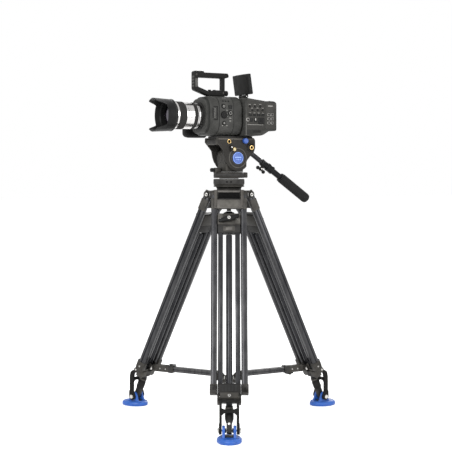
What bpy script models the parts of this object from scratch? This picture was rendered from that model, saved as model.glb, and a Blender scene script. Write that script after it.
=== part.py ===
"""Digital cinema camcorder with a hooded zoom lens, on a fluid head and a three-leg twin-tube tripod.

Frame: metres, +Z up, the floor at Z = 0. The lens looks along -X and the camcorder's left side faces -Y.
The tripod's axis stands at (AXIS_X, AXIS_Y), so that the origin is the centre of the bounding box's base.
Dimensions below are in millimetres; every helper converts to metres.
"""
import math

import bmesh
import bpy
from mathutils import Matrix, Vector

MM = 0.001

# ---------------------------------------------------------------- driving dimensions (mm)
AXIS_X, AXIS_Y = -61.145, 5.715    # tripod axis in the object's frame

# tripod
LEG_AZIMUTH = {"front": 242.0, "left": 122.0, "right": 2.0}
SPREAD = 24.5                        # leg angle from vertical, degrees
HINGE_R, HINGE_Z = 41.0, 597.5
TUBE_X, TUBE_W, TUBE_D = 38.5, 16.0, 20.0        # outer leg tubes
MID_X, MID_W, MID_D = 22.0, 12.5, 15.0           # middle leg tubes
LOW_R = 8.0                                      # inner leg tube
U_UPPER = 538.0                      # upper stage, measured down the leg from its hinge
U_CARRIAGE = (57.5, 90.0, 112.0)
U_MID = 563.0
U_TIP = 627.0                        # foot bolt
PIVOT_U, PIVOT_N = 526.0, 18.5       # spreader pivot: down the leg, and inboard of it
ROD_IN = 36.0                        # inner end of a spreader rod from the axis
ROD_HW, ROD_HH = 7.0, 7.5
PAD_R, PAD_L, PAD_W, PAD_T = 307.0, 78.0, 62.0, 12.0

# head
BOWL_Z, BOWL_R = 609.0, 38.0
BALL_R = 37.5
FLANGE_R, FLANGE_TOP = 41.4, 639.0
TILT_S, TILT_Z = -7.4, 694.3
CRADLE_L = 36.0
PLATE_TOP = 752.7

# camcorder
OPT_Z = 804.5
BODY_BOTTOM = 753.0


def rad(a):
    return a * math.pi / 180.0


C_SP, S_SP = math.cos(rad(SPREAD)), math.sin(rad(SPREAD))

# ---------------------------------------------------------------- clean scene and collections
for old in list(bpy.data.objects):
    bpy.data.objects.remove(old, do_unlink=True)

PARTS = bpy.data.collections.new("film_camera_on_tripod")
HELPERS = bpy.data.collections.new("cutters")
bpy.context.scene.collection.children.link(PARTS)
bpy.context.scene.collection.children.link(HELPERS)
bpy.context.scene.unit_settings.scale_length = 1.0


def material(name, colour, rough, metal=0.0):
    mat = bpy.data.materials.new(name)
    mat.use_nodes = True
    mat.diffuse_color = (*colour, 1.0)
    shader = mat.node_tree.nodes["Principled BSDF"]
    shader.inputs["Base Color"].default_value = (*colour, 1.0)
    shader.inputs["Roughness"].default_value = rough
    shader.inputs["Metallic"].default_value = metal
    return mat


CASTING = ((0.045, 0.042, 0.040), 0.55, 0.2)
TUBE = ((0.050, 0.054, 0.058), 0.38, 0.6)
BLACK = ((0.020, 0.020, 0.021), 0.5, 0.0)
GREY = ((0.060, 0.062, 0.060), 0.5, 0.0)
BLUE = ((0.030, 0.110, 0.500), 0.45, 0.0)
RUBBER = ((0.030, 0.028, 0.028), 0.8, 0.0)
SILVER = ((0.700, 0.700, 0.690), 0.3, 0.9)
GLASS = ((0.020, 0.020, 0.030), 0.05, 0.0)
BRASS = ((0.600, 0.480, 0.250), 0.35, 0.8)


# ---------------------------------------------------------------- modelling helpers
def link_helper(mesh, name="helper"):
    obj = bpy.data.objects.new(name, mesh)
    HELPERS.objects.link(obj)
    obj.hide_render = True
    obj.display_type = "WIRE"
    return obj


def from_bm(bm, name="helper"):
    bmesh.ops.recalc_face_normals(bm, faces=bm.faces)
    mesh = bpy.data.meshes.new(name)
    bm.to_mesh(mesh)
    bm.free()
    return link_helper(mesh, name)


def box(x0, x1, y0, y1, z0, z1, bevel=0.0, segs=2, axes="xyz"):
    """Box between two corners. bevel rounds the edges that run along the letters in axes."""
    bm = bmesh.new()
    bmesh.ops.create_cube(bm, size=1.0)
    for v in bm.verts:
        v.co = Vector(((x0 + x1) / 2 + v.co.x * (x1 - x0), (y0 + y1) / 2 + v.co.y * (y1 - y0),
                       (z0 + z1) / 2 + v.co.z * (z1 - z0))) * MM
    if bevel:
        edges = []
        for e in bm.edges:
            d = (e.verts[0].co - e.verts[1].co)
            along = "xyz"[max(range(3), key=lambda i: abs(d[i]))]
            if along in axes:
                edges.append(e)
        bmesh.ops.bevel(bm, geom=edges, offset=bevel * MM, segments=segs, profile=0.5, affect="EDGES")
    return from_bm(bm, "box")


def cyl(p0, p1, r, segs=12, r2=None, bevel=0.0, turn=0.0):
    """Cylinder or cone from p0 to p1; bevel rounds both rims."""
    a, b = Vector(p0) * MM, Vector(p1) * MM
    d = b - a
    bm = bmesh.new()
    bmesh.ops.create_cone(bm, cap_ends=True, cap_tris=False, segments=segs, radius1=r * MM,
                          radius2=(r if r2 is None else r2) * MM, depth=d.length)
    if bevel:
        rims = [e for e in bm.edges if any(len(f.verts) > 4 for f in e.link_faces)]
        bmesh.ops.bevel(bm, geom=rims, offset=bevel * MM, segments=1, profile=0.5, affect="EDGES")
    rot = d.to_track_quat("Z", "Y").to_matrix().to_4x4() @ Matrix.Rotation(rad(turn), 4, "Z")
    bmesh.ops.transform(bm, matrix=Matrix.Translation((a + b) / 2) @ rot, verts=bm.verts)
    return from_bm(bm, "cyl")


def evaluated_mesh(obj, weld=0.0):
    bpy.context.view_layer.update()
    graph = bpy.context.evaluated_depsgraph_get()
    mesh = bpy.data.meshes.new_from_object(obj.evaluated_get(graph), depsgraph=graph)
    if weld:
        bm = bmesh.new()
        bm.from_mesh(mesh)
        bmesh.ops.remove_doubles(bm, verts=bm.verts, dist=weld)
        bmesh.ops.recalc_face_normals(bm, faces=bm.faces)
        bm.to_mesh(mesh)
        bm.free()
    return mesh


def drop(obj):
    bpy.data.objects.remove(obj, do_unlink=True)


def turned(profile, steps=32, matrix=None):
    """Solid of revolution about Z. profile lists (radius, z) from the top down the outer side."""
    mesh = bpy.data.meshes.new("profile")
    verts = [(r * MM, 0.0, z * MM) for r, z in profile]
    on_axis = profile[0][0] == 0 and profile[-1][0] == 0
    edges = [(i, i + 1) for i in range(len(verts) - 1)]
    if not on_axis:
        edges.append((len(verts) - 1, 0))
    mesh.from_pydata(verts, edges, [])
    obj = link_helper(mesh, "turned")
    screw = obj.modifiers.new("Screw", "SCREW")
    screw.steps = screw.render_steps = steps
    screw.use_merge_vertices = True
    screw.merge_threshold = 0.00001
    screw.use_smooth_shade = False
    solid = evaluated_mesh(obj, weld=0.000002)
    drop(obj)
    if matrix is not None:
        solid.transform(matrix)
        if matrix.determinant() < 0:
            solid.flip_normals()
    return link_helper(solid, "turned")


def prism(points, thick, matrix=None, holes=()):
    """Flat outline in the local XY plane, extruded by thick about it."""
    curve = bpy.data.curves.new("outline", "CURVE")
    curve.dimensions = "2D"
    curve.fill_mode = "BOTH"
    curve.extrude = thick * MM / 2
    for ring in [points, *holes]:
        spline = curve.splines.new("POLY")
        spline.points.add(len(ring) - 1)
        for p, q in zip(spline.points, ring):
            p.co = (q[0] * MM, q[1] * MM, 0.0, 1.0)
        spline.use_cyclic_u = True
    obj = bpy.data.objects.new("outline", curve)
    HELPERS.objects.link(obj)
    mesh = evaluated_mesh(obj, weld=0.000005)
    drop(obj)
    if matrix is not None:
        mesh.transform(matrix)
    out = link_helper(mesh, "prism")
    fix_normals(out)
    return out


def fix_normals(obj):
    bm = bmesh.new()
    bm.from_mesh(obj.data)
    bmesh.ops.recalc_face_normals(bm, faces=bm.faces)
    if bm.calc_volume(signed=True) < 0:
        bmesh.ops.reverse_faces(bm, faces=bm.faces)
    bm.to_mesh(obj.data)
    bm.free()


def tube(points, r, res=2):
    """Round bar along a poly line."""
    curve = bpy.data.curves.new("bar", "CURVE")
    curve.dimensions = "3D"
    curve.bevel_depth = r * MM
    curve.bevel_resolution = res
    curve.use_fill_caps = True
    spline = curve.splines.new("POLY")
    spline.points.add(len(points) - 1)
    for p, q in zip(spline.points, points):
        p.co = (q[0] * MM, q[1] * MM, q[2] * MM, 1.0)
    obj = bpy.data.objects.new("bar", curve)
    HELPERS.objects.link(obj)
    mesh = evaluated_mesh(obj, weld=0.000005)
    drop(obj)
    out = link_helper(mesh, "bar")
    fix_normals(out)
    return out


def combine(base, adds=(), cuts=()):
    """Boolean union of base and adds, less cuts; returns a helper with the result."""
    work = list(adds) + list(cuts)
    for other, op in [(o, "UNION") for o in adds] + [(o, "DIFFERENCE") for o in cuts]:
        mod = base.modifiers.new(op, "BOOLEAN")
        mod.operation = op
        mod.solver = "EXACT"
        mod.object = other
    mesh = evaluated_mesh(base)
    drop(base)
    for o in work:
        drop(o)
    bm = bmesh.new()
    bm.from_mesh(mesh)
    bmesh.ops.remove_doubles(bm, verts=bm.verts, dist=0.000005)
    bmesh.ops.dissolve_degenerate(bm, edges=bm.edges, dist=0.000005)
    bmesh.ops.dissolve_limit(bm, angle_limit=rad(0.3), verts=bm.verts, edges=bm.edges)
    bm.to_mesh(mesh)
    bm.free()
    return link_helper(mesh, "combined")


def moved(obj, matrix):
    obj.data.transform(matrix)
    return obj


def local(mesh_obj, origin):
    """Moves the mesh so that origin (mm) becomes the object's own origin, and returns the mesh."""
    mesh_obj.data.transform(Matrix.Translation(-Vector(origin) * MM))
    return mesh_obj.data


SHIFT = Matrix.Translation((AXIS_X * MM, AXIS_Y * MM, 0.0))
EMPTIES = {}


def pivot(name, position, parent=None):
    """Empty on a joint's axis, position in mm about the tripod's axis."""
    empty = bpy.data.objects.new("joint_" + name, None)
    empty.empty_display_size = 0.02
    PARTS.objects.link(empty)
    world = SHIFT @ Matrix.Translation(Vector(position) * MM)
    if parent:
        empty.parent = EMPTIES[parent]
        empty.matrix_parent_inverse = EMPTIES[parent].matrix_world.inverted()
    empty.matrix_basis = world
    bpy.context.view_layer.update()
    EMPTIES[name] = empty
    return empty


def finish(name, helper, look, joint=None, origin=(0, 0, 0), placed=None):
    """Turns a helper into a named part. origin is the part's own origin in mm about the tripod's axis."""
    if placed is None:
        mesh = local(helper, origin)
        matrix = SHIFT @ Matrix.Translation(Vector(origin) * MM)
        drop(helper)
    else:
        mesh, matrix = helper, placed
    mesh.name = name
    obj = bpy.data.objects.new(name, mesh)
    PARTS.objects.link(obj)
    mesh.materials.clear()
    mesh.materials.append(material(name, *look))
    mesh.shade_smooth()
    mesh.set_sharp_from_angle(angle=rad(32))
    if joint:
        obj.parent = EMPTIES[joint]
        obj.matrix_parent_inverse = EMPTIES[joint].matrix_world.inverted()
    obj.matrix_basis = matrix
    return obj


def P(s, l, z):
    """Head frame to the tripod-axis frame: s forward along the lens, l to the camera's left."""
    return (-s, -l, z)


def hbox(s0, s1, l0, l1, z0, z1, **k):
    return box(min(-s0, -s1), max(-s0, -s1), min(-l0, -l1), max(-l0, -l1), z0, z1, **k)


# outline drawn in (s, z), extruded across l: local X -> -X, local Y -> +Z, local Z -> +Y
SIDE = Matrix(((-1, 0, 0, 0), (0, 0, 1, 0), (0, 1, 0, 0), (0, 0, 0, 1)))


def side_prism(points, l0, l1, holes=()):
    m = Matrix.Translation((0, -(l0 + l1) / 2 * MM, 0)) @ SIDE
    return prism(points, abs(l1 - l0), m, holes)


# a turned shape about the lens axis: local Z -> -X (forward), so profile z reads as s
LENS = Matrix.Translation((0, 0, OPT_Z * MM)) @ Matrix(((0, 0, -1, 0), (0, 1, 0, 0), (1, 0, 0, 0), (0, 0, 0, 1)))


def arc(cx, cy, r, a0, a1, n):
    return [(cx + r * math.cos(rad(a0 + (a1 - a0) * i / n)), cy + r * math.sin(rad(a0 + (a1 - a0) * i / n)))
            for i in range(n + 1)]


# ================================================================ tripod legs
# Leg frame: the hinge is the origin, the leg hangs down -Z, its outer face looks along -Y, X runs across.
def leg_matrix(which, tilted=True):
    turn = Matrix.Rotation(rad(LEG_AZIMUTH[which] - 270.0), 4, "Z")
    m = SHIFT @ turn
    if tilted:
        m = m @ Matrix.Translation((0, -HINGE_R * MM, HINGE_Z * MM)) @ Matrix.Rotation(-rad(SPREAD), 4, "X")
    return m


def around(which, r, t, z):
    """Point at radius r and crosswise offset t of one leg, in mm about the tripod's axis."""
    a = rad(LEG_AZIMUTH[which])
    ux, uy = math.cos(a), math.sin(a)
    return (r * ux - t * uy, r * uy + t * ux, z)


def leg_point(u, n, t=0.0):
    """(r, t, z) of a point u down the leg, n outboard of its mid plane."""
    return (HINGE_R + u * S_SP + n * C_SP, t, HINGE_Z - u * C_SP + n * S_SP)


def mirror_x(make):
    return [make(1), make(-1)]


# upper stage: two outer tubes, hinge eyes, top yoke and lower clamp casting with the spreader ears
def make_upper():
    hx0, hx1 = TUBE_X - TUBE_W / 2, TUBE_X + TUBE_W / 2
    parts = []
    for s in (1, -1):
        a, b = sorted((s * hx0, s * hx1))
        parts.append(box(a, b, -TUBE_D / 2, TUBE_D / 2, -U_UPPER + 4, -3, bevel=4.0, segs=1, axes="z"))
        parts.append(cyl((a, 0, 0), (b, 0, 0), 11.0, 14))
        # clamp at the tube's lower end
        a2, b2 = sorted((s * 28.8, s * 48.3))
        parts.append(box(a2, b2, -11.6, 11.6, -U_UPPER, -513, bevel=1.5, segs=1, axes="z"))
        # spreader ear
        a3, b3 = sorted((s * 10.3, s * 14.3))
        parts.append(side_ear(a3, b3))
    # top yoke plate with two stiff side cheeks
    parts.append(box(-40, 40, -12.6, -5.5, -45, -18))
    parts.append(box(-31, 31, 8.3, 11.4, -U_UPPER, -533.5))
    cuts = [cyl((-60, 0, 0), (60, 0, 0), 4.3, 12)]
    cuts.append(cyl((-20, PIVOT_N, -PIVOT_U), (20, PIVOT_N, -PIVOT_U), 3.1, 10))
    base = parts.pop(0)
    return combine(base, parts, cuts)


def side_ear(a, b):
    c = arc(PIVOT_N, -PIVOT_U, 7.0, 90, -90, 5)
    pts = [(8.3, -PIVOT_U + 10)] + c + [(8.3, -U_UPPER)]
    # local X -> Y, local Y -> Z, local Z -> X
    m = Matrix.Translation(((a + b) / 2 * MM, 0, 0)) @ Matrix(((0, 0, 1, 0), (1, 0, 0, 0), (0, 1, 0, 0), (0, 0, 0, 1)))
    return prism(pts, abs(b - a), m)


# middle stage: carriage, two tubes and the bottom casting
def make_mid():
    c0, c1, c2 = U_CARRIAGE
    parts = [box(-29.9, 29.9, -11, 10.2, -c1, -c0, bevel=2.0, segs=1, axes="z"),
             box(-29.4, 29.4, -9, 8.6, -c2, -c1 + 1),
             box(-30, 30, -11.2, 10.5, -U_MID + 4, -541.0, bevel=1.5, segs=1, axes="z"),
             box(-29.6, -23.5, -10.8, 8.5, -U_MID, -545.0),
             box(23.5, 29.6, -10.8, 8.5, -U_MID, -545.0)]
    for s in (1, -1):
        a, b = sorted((s * (MID_X - MID_W / 2), s * (MID_X + MID_W / 2)))
        parts.append(box(a, b, -MID_D / 2, MID_D / 2, -546, -c2 + 5, bevel=3.2, segs=1, axes="z"))
        # ears of the lower flip lever
        a, b = sorted((s * 24.2, s * 29.2))
        pts = [(-10, -541.8)] + arc(-17.5, -549.0, 6.3, 80, 280, 5) + [(-10, -557.0)]
        m = Matrix.Translation(((a + b) / 2 * MM, 0, 0)) @ Matrix(((0, 0, 1, 0), (1, 0, 0, 0), (0, 1, 0, 0), (0, 0, 0, 1)))
        parts.append(prism(pts, abs(b - a), m))
    cuts = [cyl((0, 0, -575), (0, 0, -530), LOW_R + 0.35, 14),
            cyl((0, -20, -74), (0, -4, -74), 4.3, 10),
            cyl((-35, -17.5, -549), (35, -17.5, -549), 2.9, 8)]
    return combine(parts[0], parts[1:], cuts)


# lower stage: inner tube, collar, tip block with the foot bolt
def make_low():
    parts = [cyl((0, 0, -604), (0, 0, -116), LOW_R, 12),
             turned([(0, -566), (9.2, -566), (9.4, -580), (11, -584), (11, -598), (8.2, -608), (0, -608)], 12),
             box(-6.8, 6.8, -7.5, 9.5, -634.5, -600, bevel=2.0, segs=1, axes="x"),
             cyl((-27.5, 0, -U_TIP), (27.5, 0, -U_TIP), 2.7, 10),
             cyl((0, 7.0, -628), (0, 8.5, -637.0), 2.6, 8, r2=0.6)]
    return combine(parts[0], parts[1:])


# twist lever of the upper lock, on a stud square to the leg
def make_upper_lever():
    pts = arc(0, 0, 8.6, 60, 125, 4) + [(-13.0, 3.0), (-20.0, -0.5)] + arc(-23.5, -6.6, 4.6, 110, 275, 5) + \
        [(-14, -9.4)] + arc(0, 0, 8.6, 240, 305, 4) + [(13.0, -3.0), (20.0, 0.5)] + arc(23.5, 6.6, 4.6, -70, 95, 5) + [(14, 9.4)]
    m = Matrix.Translation((0, -16.6 * MM, -74 * MM)) @ Matrix(((1, 0, 0, 0), (0, 0, -1, 0), (0, 1, 0, 0), (0, 0, 0, 1)))
    blade = prism(pts, 7.0, m)
    return combine(blade, [cyl((0, -14, -74), (0, -5.0, -74), 4.0, 10), cyl((0, -22.4, -74), (0, -19, -74), 6.4, 10, bevel=1.0)])


# flip lever of the lower lock
def make_lower_lever():
    parts = [box(-29, 29, -22.6, -13.0, -540.3, -514.5, bevel=2.0, segs=1),
             box(-23.6, 23.6, -22.4, -12.4, -549.5, -536, bevel=0),
             cyl((-23.7, -17.5, -549), (23.7, -17.5, -549), 5.5, 10),
             cyl((-29.4, -17.5, -549), (29.4, -17.5, -549), 2.6, 8)]
    return combine(parts[0], parts[1:])


# foot, modelled level: radius runs along -Y
def make_pad():
    base = turned([(0, PAD_T), (27.0, PAD_T), (31, PAD_T - 4.5), (31, 2.5), (29.6, 0.0), (0, 0)], 20)
    moved(base, Matrix.Translation((0, -PAD_R * MM, 0)) @ Matrix.Diagonal((1, PAD_L / PAD_W, 1, 1)))
    parts = []
    bolt_r, _, bolt_z = leg_point(U_TIP, 0)
    for s in (1, -1):
        a, b = sorted((s * 10.3, s * 17.5))
        top = arc(-bolt_r - 0.5, bolt_z + 1.5, 11.0, 10, 165, 5)
        pts = [(-bolt_r + 19, 9)] + [(-bolt_r + 13.0, 22)] + top + [(-bolt_r - 13.0, 20), (-bolt_r - 20, 9)]
        m = Matrix.Translation(((a + b) / 2 * MM, 0, 0)) @ Matrix(((0, 0, 1, 0), (1, 0, 0, 0), (0, 1, 0, 0), (0, 0, 0, 1)))
        parts.append(prism(pts, abs(b - a), m))
    return combine(base, parts, [cyl((-30, -bolt_r, bolt_z), (30, -bolt_r, bolt_z), 3.0, 10)])


# rubber tie strap: two bolt pads, two uprights, a cross web and the top loop
def make_strap():
    bolt_r, _, bolt_z = leg_point(U_TIP, 0)
    side = Matrix(((0, 0, 1, 0), (1, 0, 0, 0), (0, 1, 0, 0), (0, 0, 0, 1)))
    parts = []
    for s in (1, -1):
        a, b = sorted((s * 18.3, s * 25.6))
        pts = arc(-bolt_r, bolt_z, 10.0, 0, -180, 6) + [(-bolt_r - 9.5, 44), (-bolt_r + 4.5, 44)]
        parts.append(prism(pts, b - a, Matrix.Translation(((a + b) / 2 * MM, 0, 0)) @ side))
        a, b = sorted((s * 17.9, s * 24.4))
        pts = [(-bolt_r + 4.0, 38), (-bolt_r + 4.5, 70), (-bolt_r + 7.0, 92), (-bolt_r + 14.0, 98.5), (-bolt_r + 4.0, 103), (-bolt_r - 5.0, 98),
               (-bolt_r - 8.0, 84), (-bolt_r - 8.6, 38)]
        parts.append(prism(pts, b - a, Matrix.Translation(((a + b) / 2 * MM, 0, 0)) @ side))
    # top bar and cross web
    parts.append(box(-20, 20, -bolt_r - 3.0, -bolt_r + 9.5, 95.3, 101.5))
    web = [(-20, 66), (-11, 72.0), (11, 72.0), (20, 66), (20, 80), (11, 78.5), (-11, 78.5), (-20, 80)]
    m = Matrix.Translation((0, (-bolt_r - 2.3) * MM, 0)) @ Matrix(((1, 0, 0, 0), (0, 0, -1, 0), (0, 1, 0, 0), (0, 0, 0, 1)))
    parts.append(prism(web, 11.0, m))
    return combine(parts[0], parts[1:], [cyl((-30, -bolt_r, bolt_z), (30, -bolt_r, bolt_z), 3.1, 10)])


PIV_R, _, PIV_Z = leg_point(PIVOT_U, -PIVOT_N)


def make_sleeve():
    y = -PIV_R
    parts = [box(-9.8, 9.8, y + 1, y + 68, PIV_Z - 9, PIV_Z + 9),
             cyl((-9.8, y, PIV_Z), (9.8, y, PIV_Z), 8.6, 12),
             cyl((-17.2, y, PIV_Z), (17.2, y, PIV_Z), 2.8, 8),
             cyl((-17.2, y, PIV_Z), (-14.7, y, PIV_Z), 4.6, 8),
             cyl((14.7, y, PIV_Z), (17.2, y, PIV_Z), 4.6, 8),
             box(-11.2, 11.2, y + 54, y + 67, PIV_Z - 10, PIV_Z + 10)]
    cuts = [box(-ROD_HW - 0.35, ROD_HW + 0.35, y + 9.5, y + 80, PIV_Z - ROD_HH - 0.35, PIV_Z + ROD_HH + 0.35)]
    return combine(parts[0], parts[1:], cuts)


def make_rod():
    y0 = -PIV_R + 55.5
    y1 = -ROD_IN - ROD_HH
    parts = [box(-ROD_HW, ROD_HW, y0, y1, PIV_Z - ROD_HH, PIV_Z + ROD_HH, bevel=1.6, segs=1, axes="y"),
             cyl((-ROD_HW, y1, PIV_Z), (ROD_HW, y1, PIV_Z), ROD_HH, 12)]
    return combine(parts[0], parts[1:])


LEG_PARTS = {
    "upper_leg": (make_upper(), TUBE, True),
    "mid_leg": (make_mid(), CASTING, True),
    "lower_leg": (make_low(), BLACK, True),
    "upper_lock_lever": (make_upper_lever(), BLACK, True),
    "lower_lock_lever": (make_lower_lever(), BLACK, True),
    "foot_pad": (make_pad(), BLUE, False),
    "foot_strap": (make_strap(), RUBBER, False),
    "spreader_sleeve": (make_sleeve(), CASTING, False),
    "spreader_rod": (make_rod(), TUBE, False),
}

pivot("crown", (0, 0, HINGE_Z))
for leg in LEG_AZIMUTH:
    pivot("leg_" + leg, around(leg, HINGE_R, 0, HINGE_Z), "crown")
    pivot("mid_" + leg, around(leg, *leg_point(U_CARRIAGE[0], 0)), "leg_" + leg)
    pivot("low_" + leg, around(leg, *leg_point(120, 0)), "mid_" + leg)
    pivot("pad_" + leg, around(leg, *leg_point(U_TIP, 0)), "low_" + leg)
    pivot("twist_" + leg, around(leg, *leg_point(74, 12)), "mid_" + leg)
    pivot("flip_" + leg, around(leg, *leg_point(549, 17.5)), "mid_" + leg)
    pivot("arm_" + leg, around(leg, PIV_R, 0, PIV_Z), "leg_" + leg)
    pivot("rod_" + leg, around(leg, PIV_R - 60, 0, PIV_Z), "arm_" + leg)

LEG_JOINT = {"upper_leg": "leg_", "mid_leg": "mid_", "lower_leg": "low_", "upper_lock_lever": "twist_",
             "lower_lock_lever": "flip_", "foot_pad": "pad_", "foot_strap": "low_", "spreader_sleeve": "arm_",
             "spreader_rod": "rod_"}
for stem, (helper, look, tilted) in LEG_PARTS.items():
    shared = helper.data
    for leg in LEG_AZIMUTH:
        finish(f"{stem}_{leg}", shared, look, LEG_JOINT[stem] + leg, placed=leg_matrix(leg, tilted))
    drop(helper)

# ================================================================ crown, hinge pins, spreader hub
bowl_in = [(BOWL_R * math.cos(rad(a)), BOWL_Z - BOWL_R * math.sin(rad(a))) for a in (47, 36, 24, 12, 0)]
crown_body = turned([(42.0, BOWL_Z), (42.0, 597), (40.3, 590.5), (36.3, 583.6), (31.3, 578.9), (27.6, 576.4), (25.0, 578.6)] + bowl_in, 24)
lugs = []
for leg in LEG_AZIMUTH:
    lug = box(-29.9, 29.9, -51.0, -30.0, 584.5, 608.2, bevel=2.5, segs=1, axes="x")
    moved(lug, Matrix.Rotation(rad(LEG_AZIMUTH[leg] - 270.0), 4, "Z"))
    lugs.append(lug)
cuts = []
for leg in LEG_AZIMUTH:
    turn = Matrix.Rotation(rad(LEG_AZIMUTH[leg] - 270.0), 4, "Z")
    cuts.append(moved(cyl((-40, -HINGE_R, HINGE_Z), (40, -HINGE_R, HINGE_Z), 4.3, 12), turn))
    cuts.append(moved(box(-24, 24, -54, -48.5, 588, 604.5), turn))
# the bowl stays open through the lugs
cuts.append(turned([(0, BOWL_Z + 5), (BOWL_R, BOWL_Z + 5)] + list(reversed(bowl_in)) + [(25.0, 570), (0, 570)], 24))
finish("crown_casting", combine(crown_body, lugs, cuts), CASTING, "crown", (0, 0, HINGE_Z))

for leg in LEG_AZIMUTH:
    pin = combine(cyl((-49.5, -HINGE_R, HINGE_Z), (49.5, -HINGE_R, HINGE_Z), 4.0, 12),
                  [cyl((-51.5, -HINGE_R, HINGE_Z), (-47.0, -HINGE_R, HINGE_Z), 6.6, 12, bevel=0.8),
                   cyl((47.0, -HINGE_R, HINGE_Z), (51.5, -HINGE_R, HINGE_Z), 6.6, 12, bevel=0.8)])
    moved(pin, Matrix.Rotation(rad(LEG_AZIMUTH[leg] - 270.0), 4, "Z"))
    finish("leg_hinge_pin_" + leg, pin, SILVER, "crown", around(leg, HINGE_R, 0, HINGE_Z))

hub_top = PIV_Z - ROD_HH - 0.6
hub = turned([(0, hub_top), (25.5, hub_top), (28, hub_top - 2), (28, hub_top - 9), (20, hub_top - 13), (0, hub_top - 13)], 20)
ears = []
for leg in LEG_AZIMUTH:
    turn = Matrix.Rotation(rad(LEG_AZIMUTH[leg] - 270.0), 4, "Z")
    for s in (1, -1):
        a, b = sorted((s * 7.7, s * 11.4))
        pts = [(-17.5, hub_top - 10.5), (-17.5, hub_top + 3), (-24, hub_top + 10)] + arc(-41.0, PIV_Z, 7.0, 80, 190, 3) + \
            arc(-41, PIV_Z - 9, 5.5, 200, 270, 2)
        m = Matrix.Translation(((a + b) / 2 * MM, 0, 0)) @ Matrix(((0, 0, 1, 0), (1, 0, 0, 0), (0, 1, 0, 0), (0, 0, 0, 1)))
        ears.append(moved(prism(pts, b - a, m), turn))
pivot("hub", (0, 0, PIV_Z), "crown")
finish("spreader_hub", combine(hub, ears), CASTING, "hub", (0, 0, PIV_Z))

# ================================================================ levelling half ball
pivot("dish", (0, 0, BOWL_Z), "crown")
pivot("ball", (0, 0, BOWL_Z), "dish")


def on_sphere(r, angles):
    return [(r * math.cos(rad(a)), BOWL_Z - r * math.sin(rad(a))) for a in angles]


dish = turned(on_sphere(45.2, (74.4, 64, 54)) + on_sphere(49.0, (55, 65, 75.3)), 20)
finish("ball_clamp_dish", dish, CASTING, "dish", (0, 0, BOWL_Z))

ball_side = on_sphere(BALL_R, (12, 31, 50))
ball = turned([(0, FLANGE_TOP), (39.8, FLANGE_TOP), (FLANGE_R, FLANGE_TOP - 1.6), (FLANGE_R, 624.5), (39.6, 622.6),
               (FLANGE_R, 620.4), (FLANGE_R, 618.6), (34.6, 617.2), (32.5, 611.0), (34.5, 607.5)] + ball_side +
              [(22.0, 578.6), (6.0, 577.5), (6.0, 552.5), (0, 552.5)], 24)
finish("half_ball", ball, CASTING, "ball", (0, 0, BOWL_Z))

pivot("tie_down", (0, 0, 545), "ball")
knob = turned([(0, 552.0), (7.5, 552.0), (11.6, 549.0), (11.6, 538.0), (10.0, 534.0), (0, 534.0)], 16)
wings = [box(-15.5, 15.5, -3.4, 3.4, 535.5, 549.5, bevel=1.5, segs=1),
         moved(box(-15.5, 15.5, -3.4, 3.4, 535.5, 549.5, bevel=1.5, segs=1), Matrix.Rotation(rad(90), 4, "Z"))]
finish("tie_down_knob", combine(knob, wings), BLACK, "tie_down", (0, 0, 545))

# ================================================================ fluid head
pivot("pan", (0, 0, 650), "ball")
base = turned([(0, 657.5), (38.6, 657.5), (40.6, 655.5), (41.4, 643.2), (40.4, 641.2), (26.0, 641.2),
               (26.0, FLANGE_TOP + 0.35), (0, FLANGE_TOP + 0.35)], 24)
rear_block = hbox(-46, -20, -22, 22, 641.8, 656.8, bevel=3, segs=1, axes="z")
lock_boss = hbox(22.5, 42, -12, 4, 652, 669, bevel=2, segs=1, axes="x")
finish("pan_base", combine(base, [rear_block, lock_boss], [cyl(P(35, -4, 662.5), P(46, -4, 662.5), 3.1, 8)]),
       CASTING, "pan", (0, 0, 650))
housing = cyl(P(TILT_S, -29.8, TILT_Z), P(TILT_S, 29.8, TILT_Z), 32.5, 24, bevel=1.5)
finish("tilt_housing", combine(housing, [hbox(-31, 22, -26, 26, 657.8, 690, bevel=6, segs=2, axes="z")]),
       BLACK, "pan", P(TILT_S, 0, TILT_Z))

pivot("pan_lock", P(43, -4, 662.5), "pan")
finish("pan_lock_knob", combine(cyl(P(42.5, -4, 662.5), P(53, -4, 662.5), 5.5, 10, bevel=0.8),
                                [cyl(P(36.5, -4, 662.5), P(44, -4, 662.5), 2.8, 8)]), BLACK, "pan_lock", P(43, -4, 662.5))

# cradle: two cheeks, the platform with its rails, and a clamp boss on each cheek
pivot("tilt", P(TILT_S, 0, TILT_Z), "pan")
cheek = [(54, 748.0), (55, 736), (41, 720), (35, 713), (32.5, 697), (27.5, 683.5)] + \
    arc(TILT_S, TILT_Z, 35.0, -25, -140, 9) + \
    [(-34.2, 686), (-43, 696.5), (-57, 711), (-60.5, 721), (-60.5, 741), (-57, 748.0)]
platform = hbox(-58, 53, -32, 32, 729.2, 744.0, bevel=2, segs=1, axes="y")
rails = [hbox(-57, 52.5, 26.4, 33, 742, 747.7), hbox(-57, 52.5, -33, -26.4, 742, 747.7)]
bosses = [cyl(P(-46.8, 34, 722.3), P(-46.8, 41, 722.3), 10.7, 14), cyl(P(-50, -34, 727), P(-50, -41, 727), 10.7, 14)]
cuts = [cyl(P(-28, 30, 739.8), P(-28, 40, 739.8), 3.3, 8), cyl(P(13.7, 30.4, 722.8), P(13.7, 38, 722.8), 2.7, 8)]
finish("cradle", combine(side_prism(cheek, 31.0, CRADLE_L), [side_prism(cheek, -CRADLE_L, -31.0), platform, *rails, *bosses], cuts),
       CASTING, "tilt", P(TILT_S, 0, TILT_Z))
finish("tilt_disc", cyl(P(TILT_S, 36.4, TILT_Z), P(TILT_S, 38.4, TILT_Z), 16.0, 24, bevel=0.5), BLUE, "tilt",
       P(TILT_S, 36.4, TILT_Z))

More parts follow.
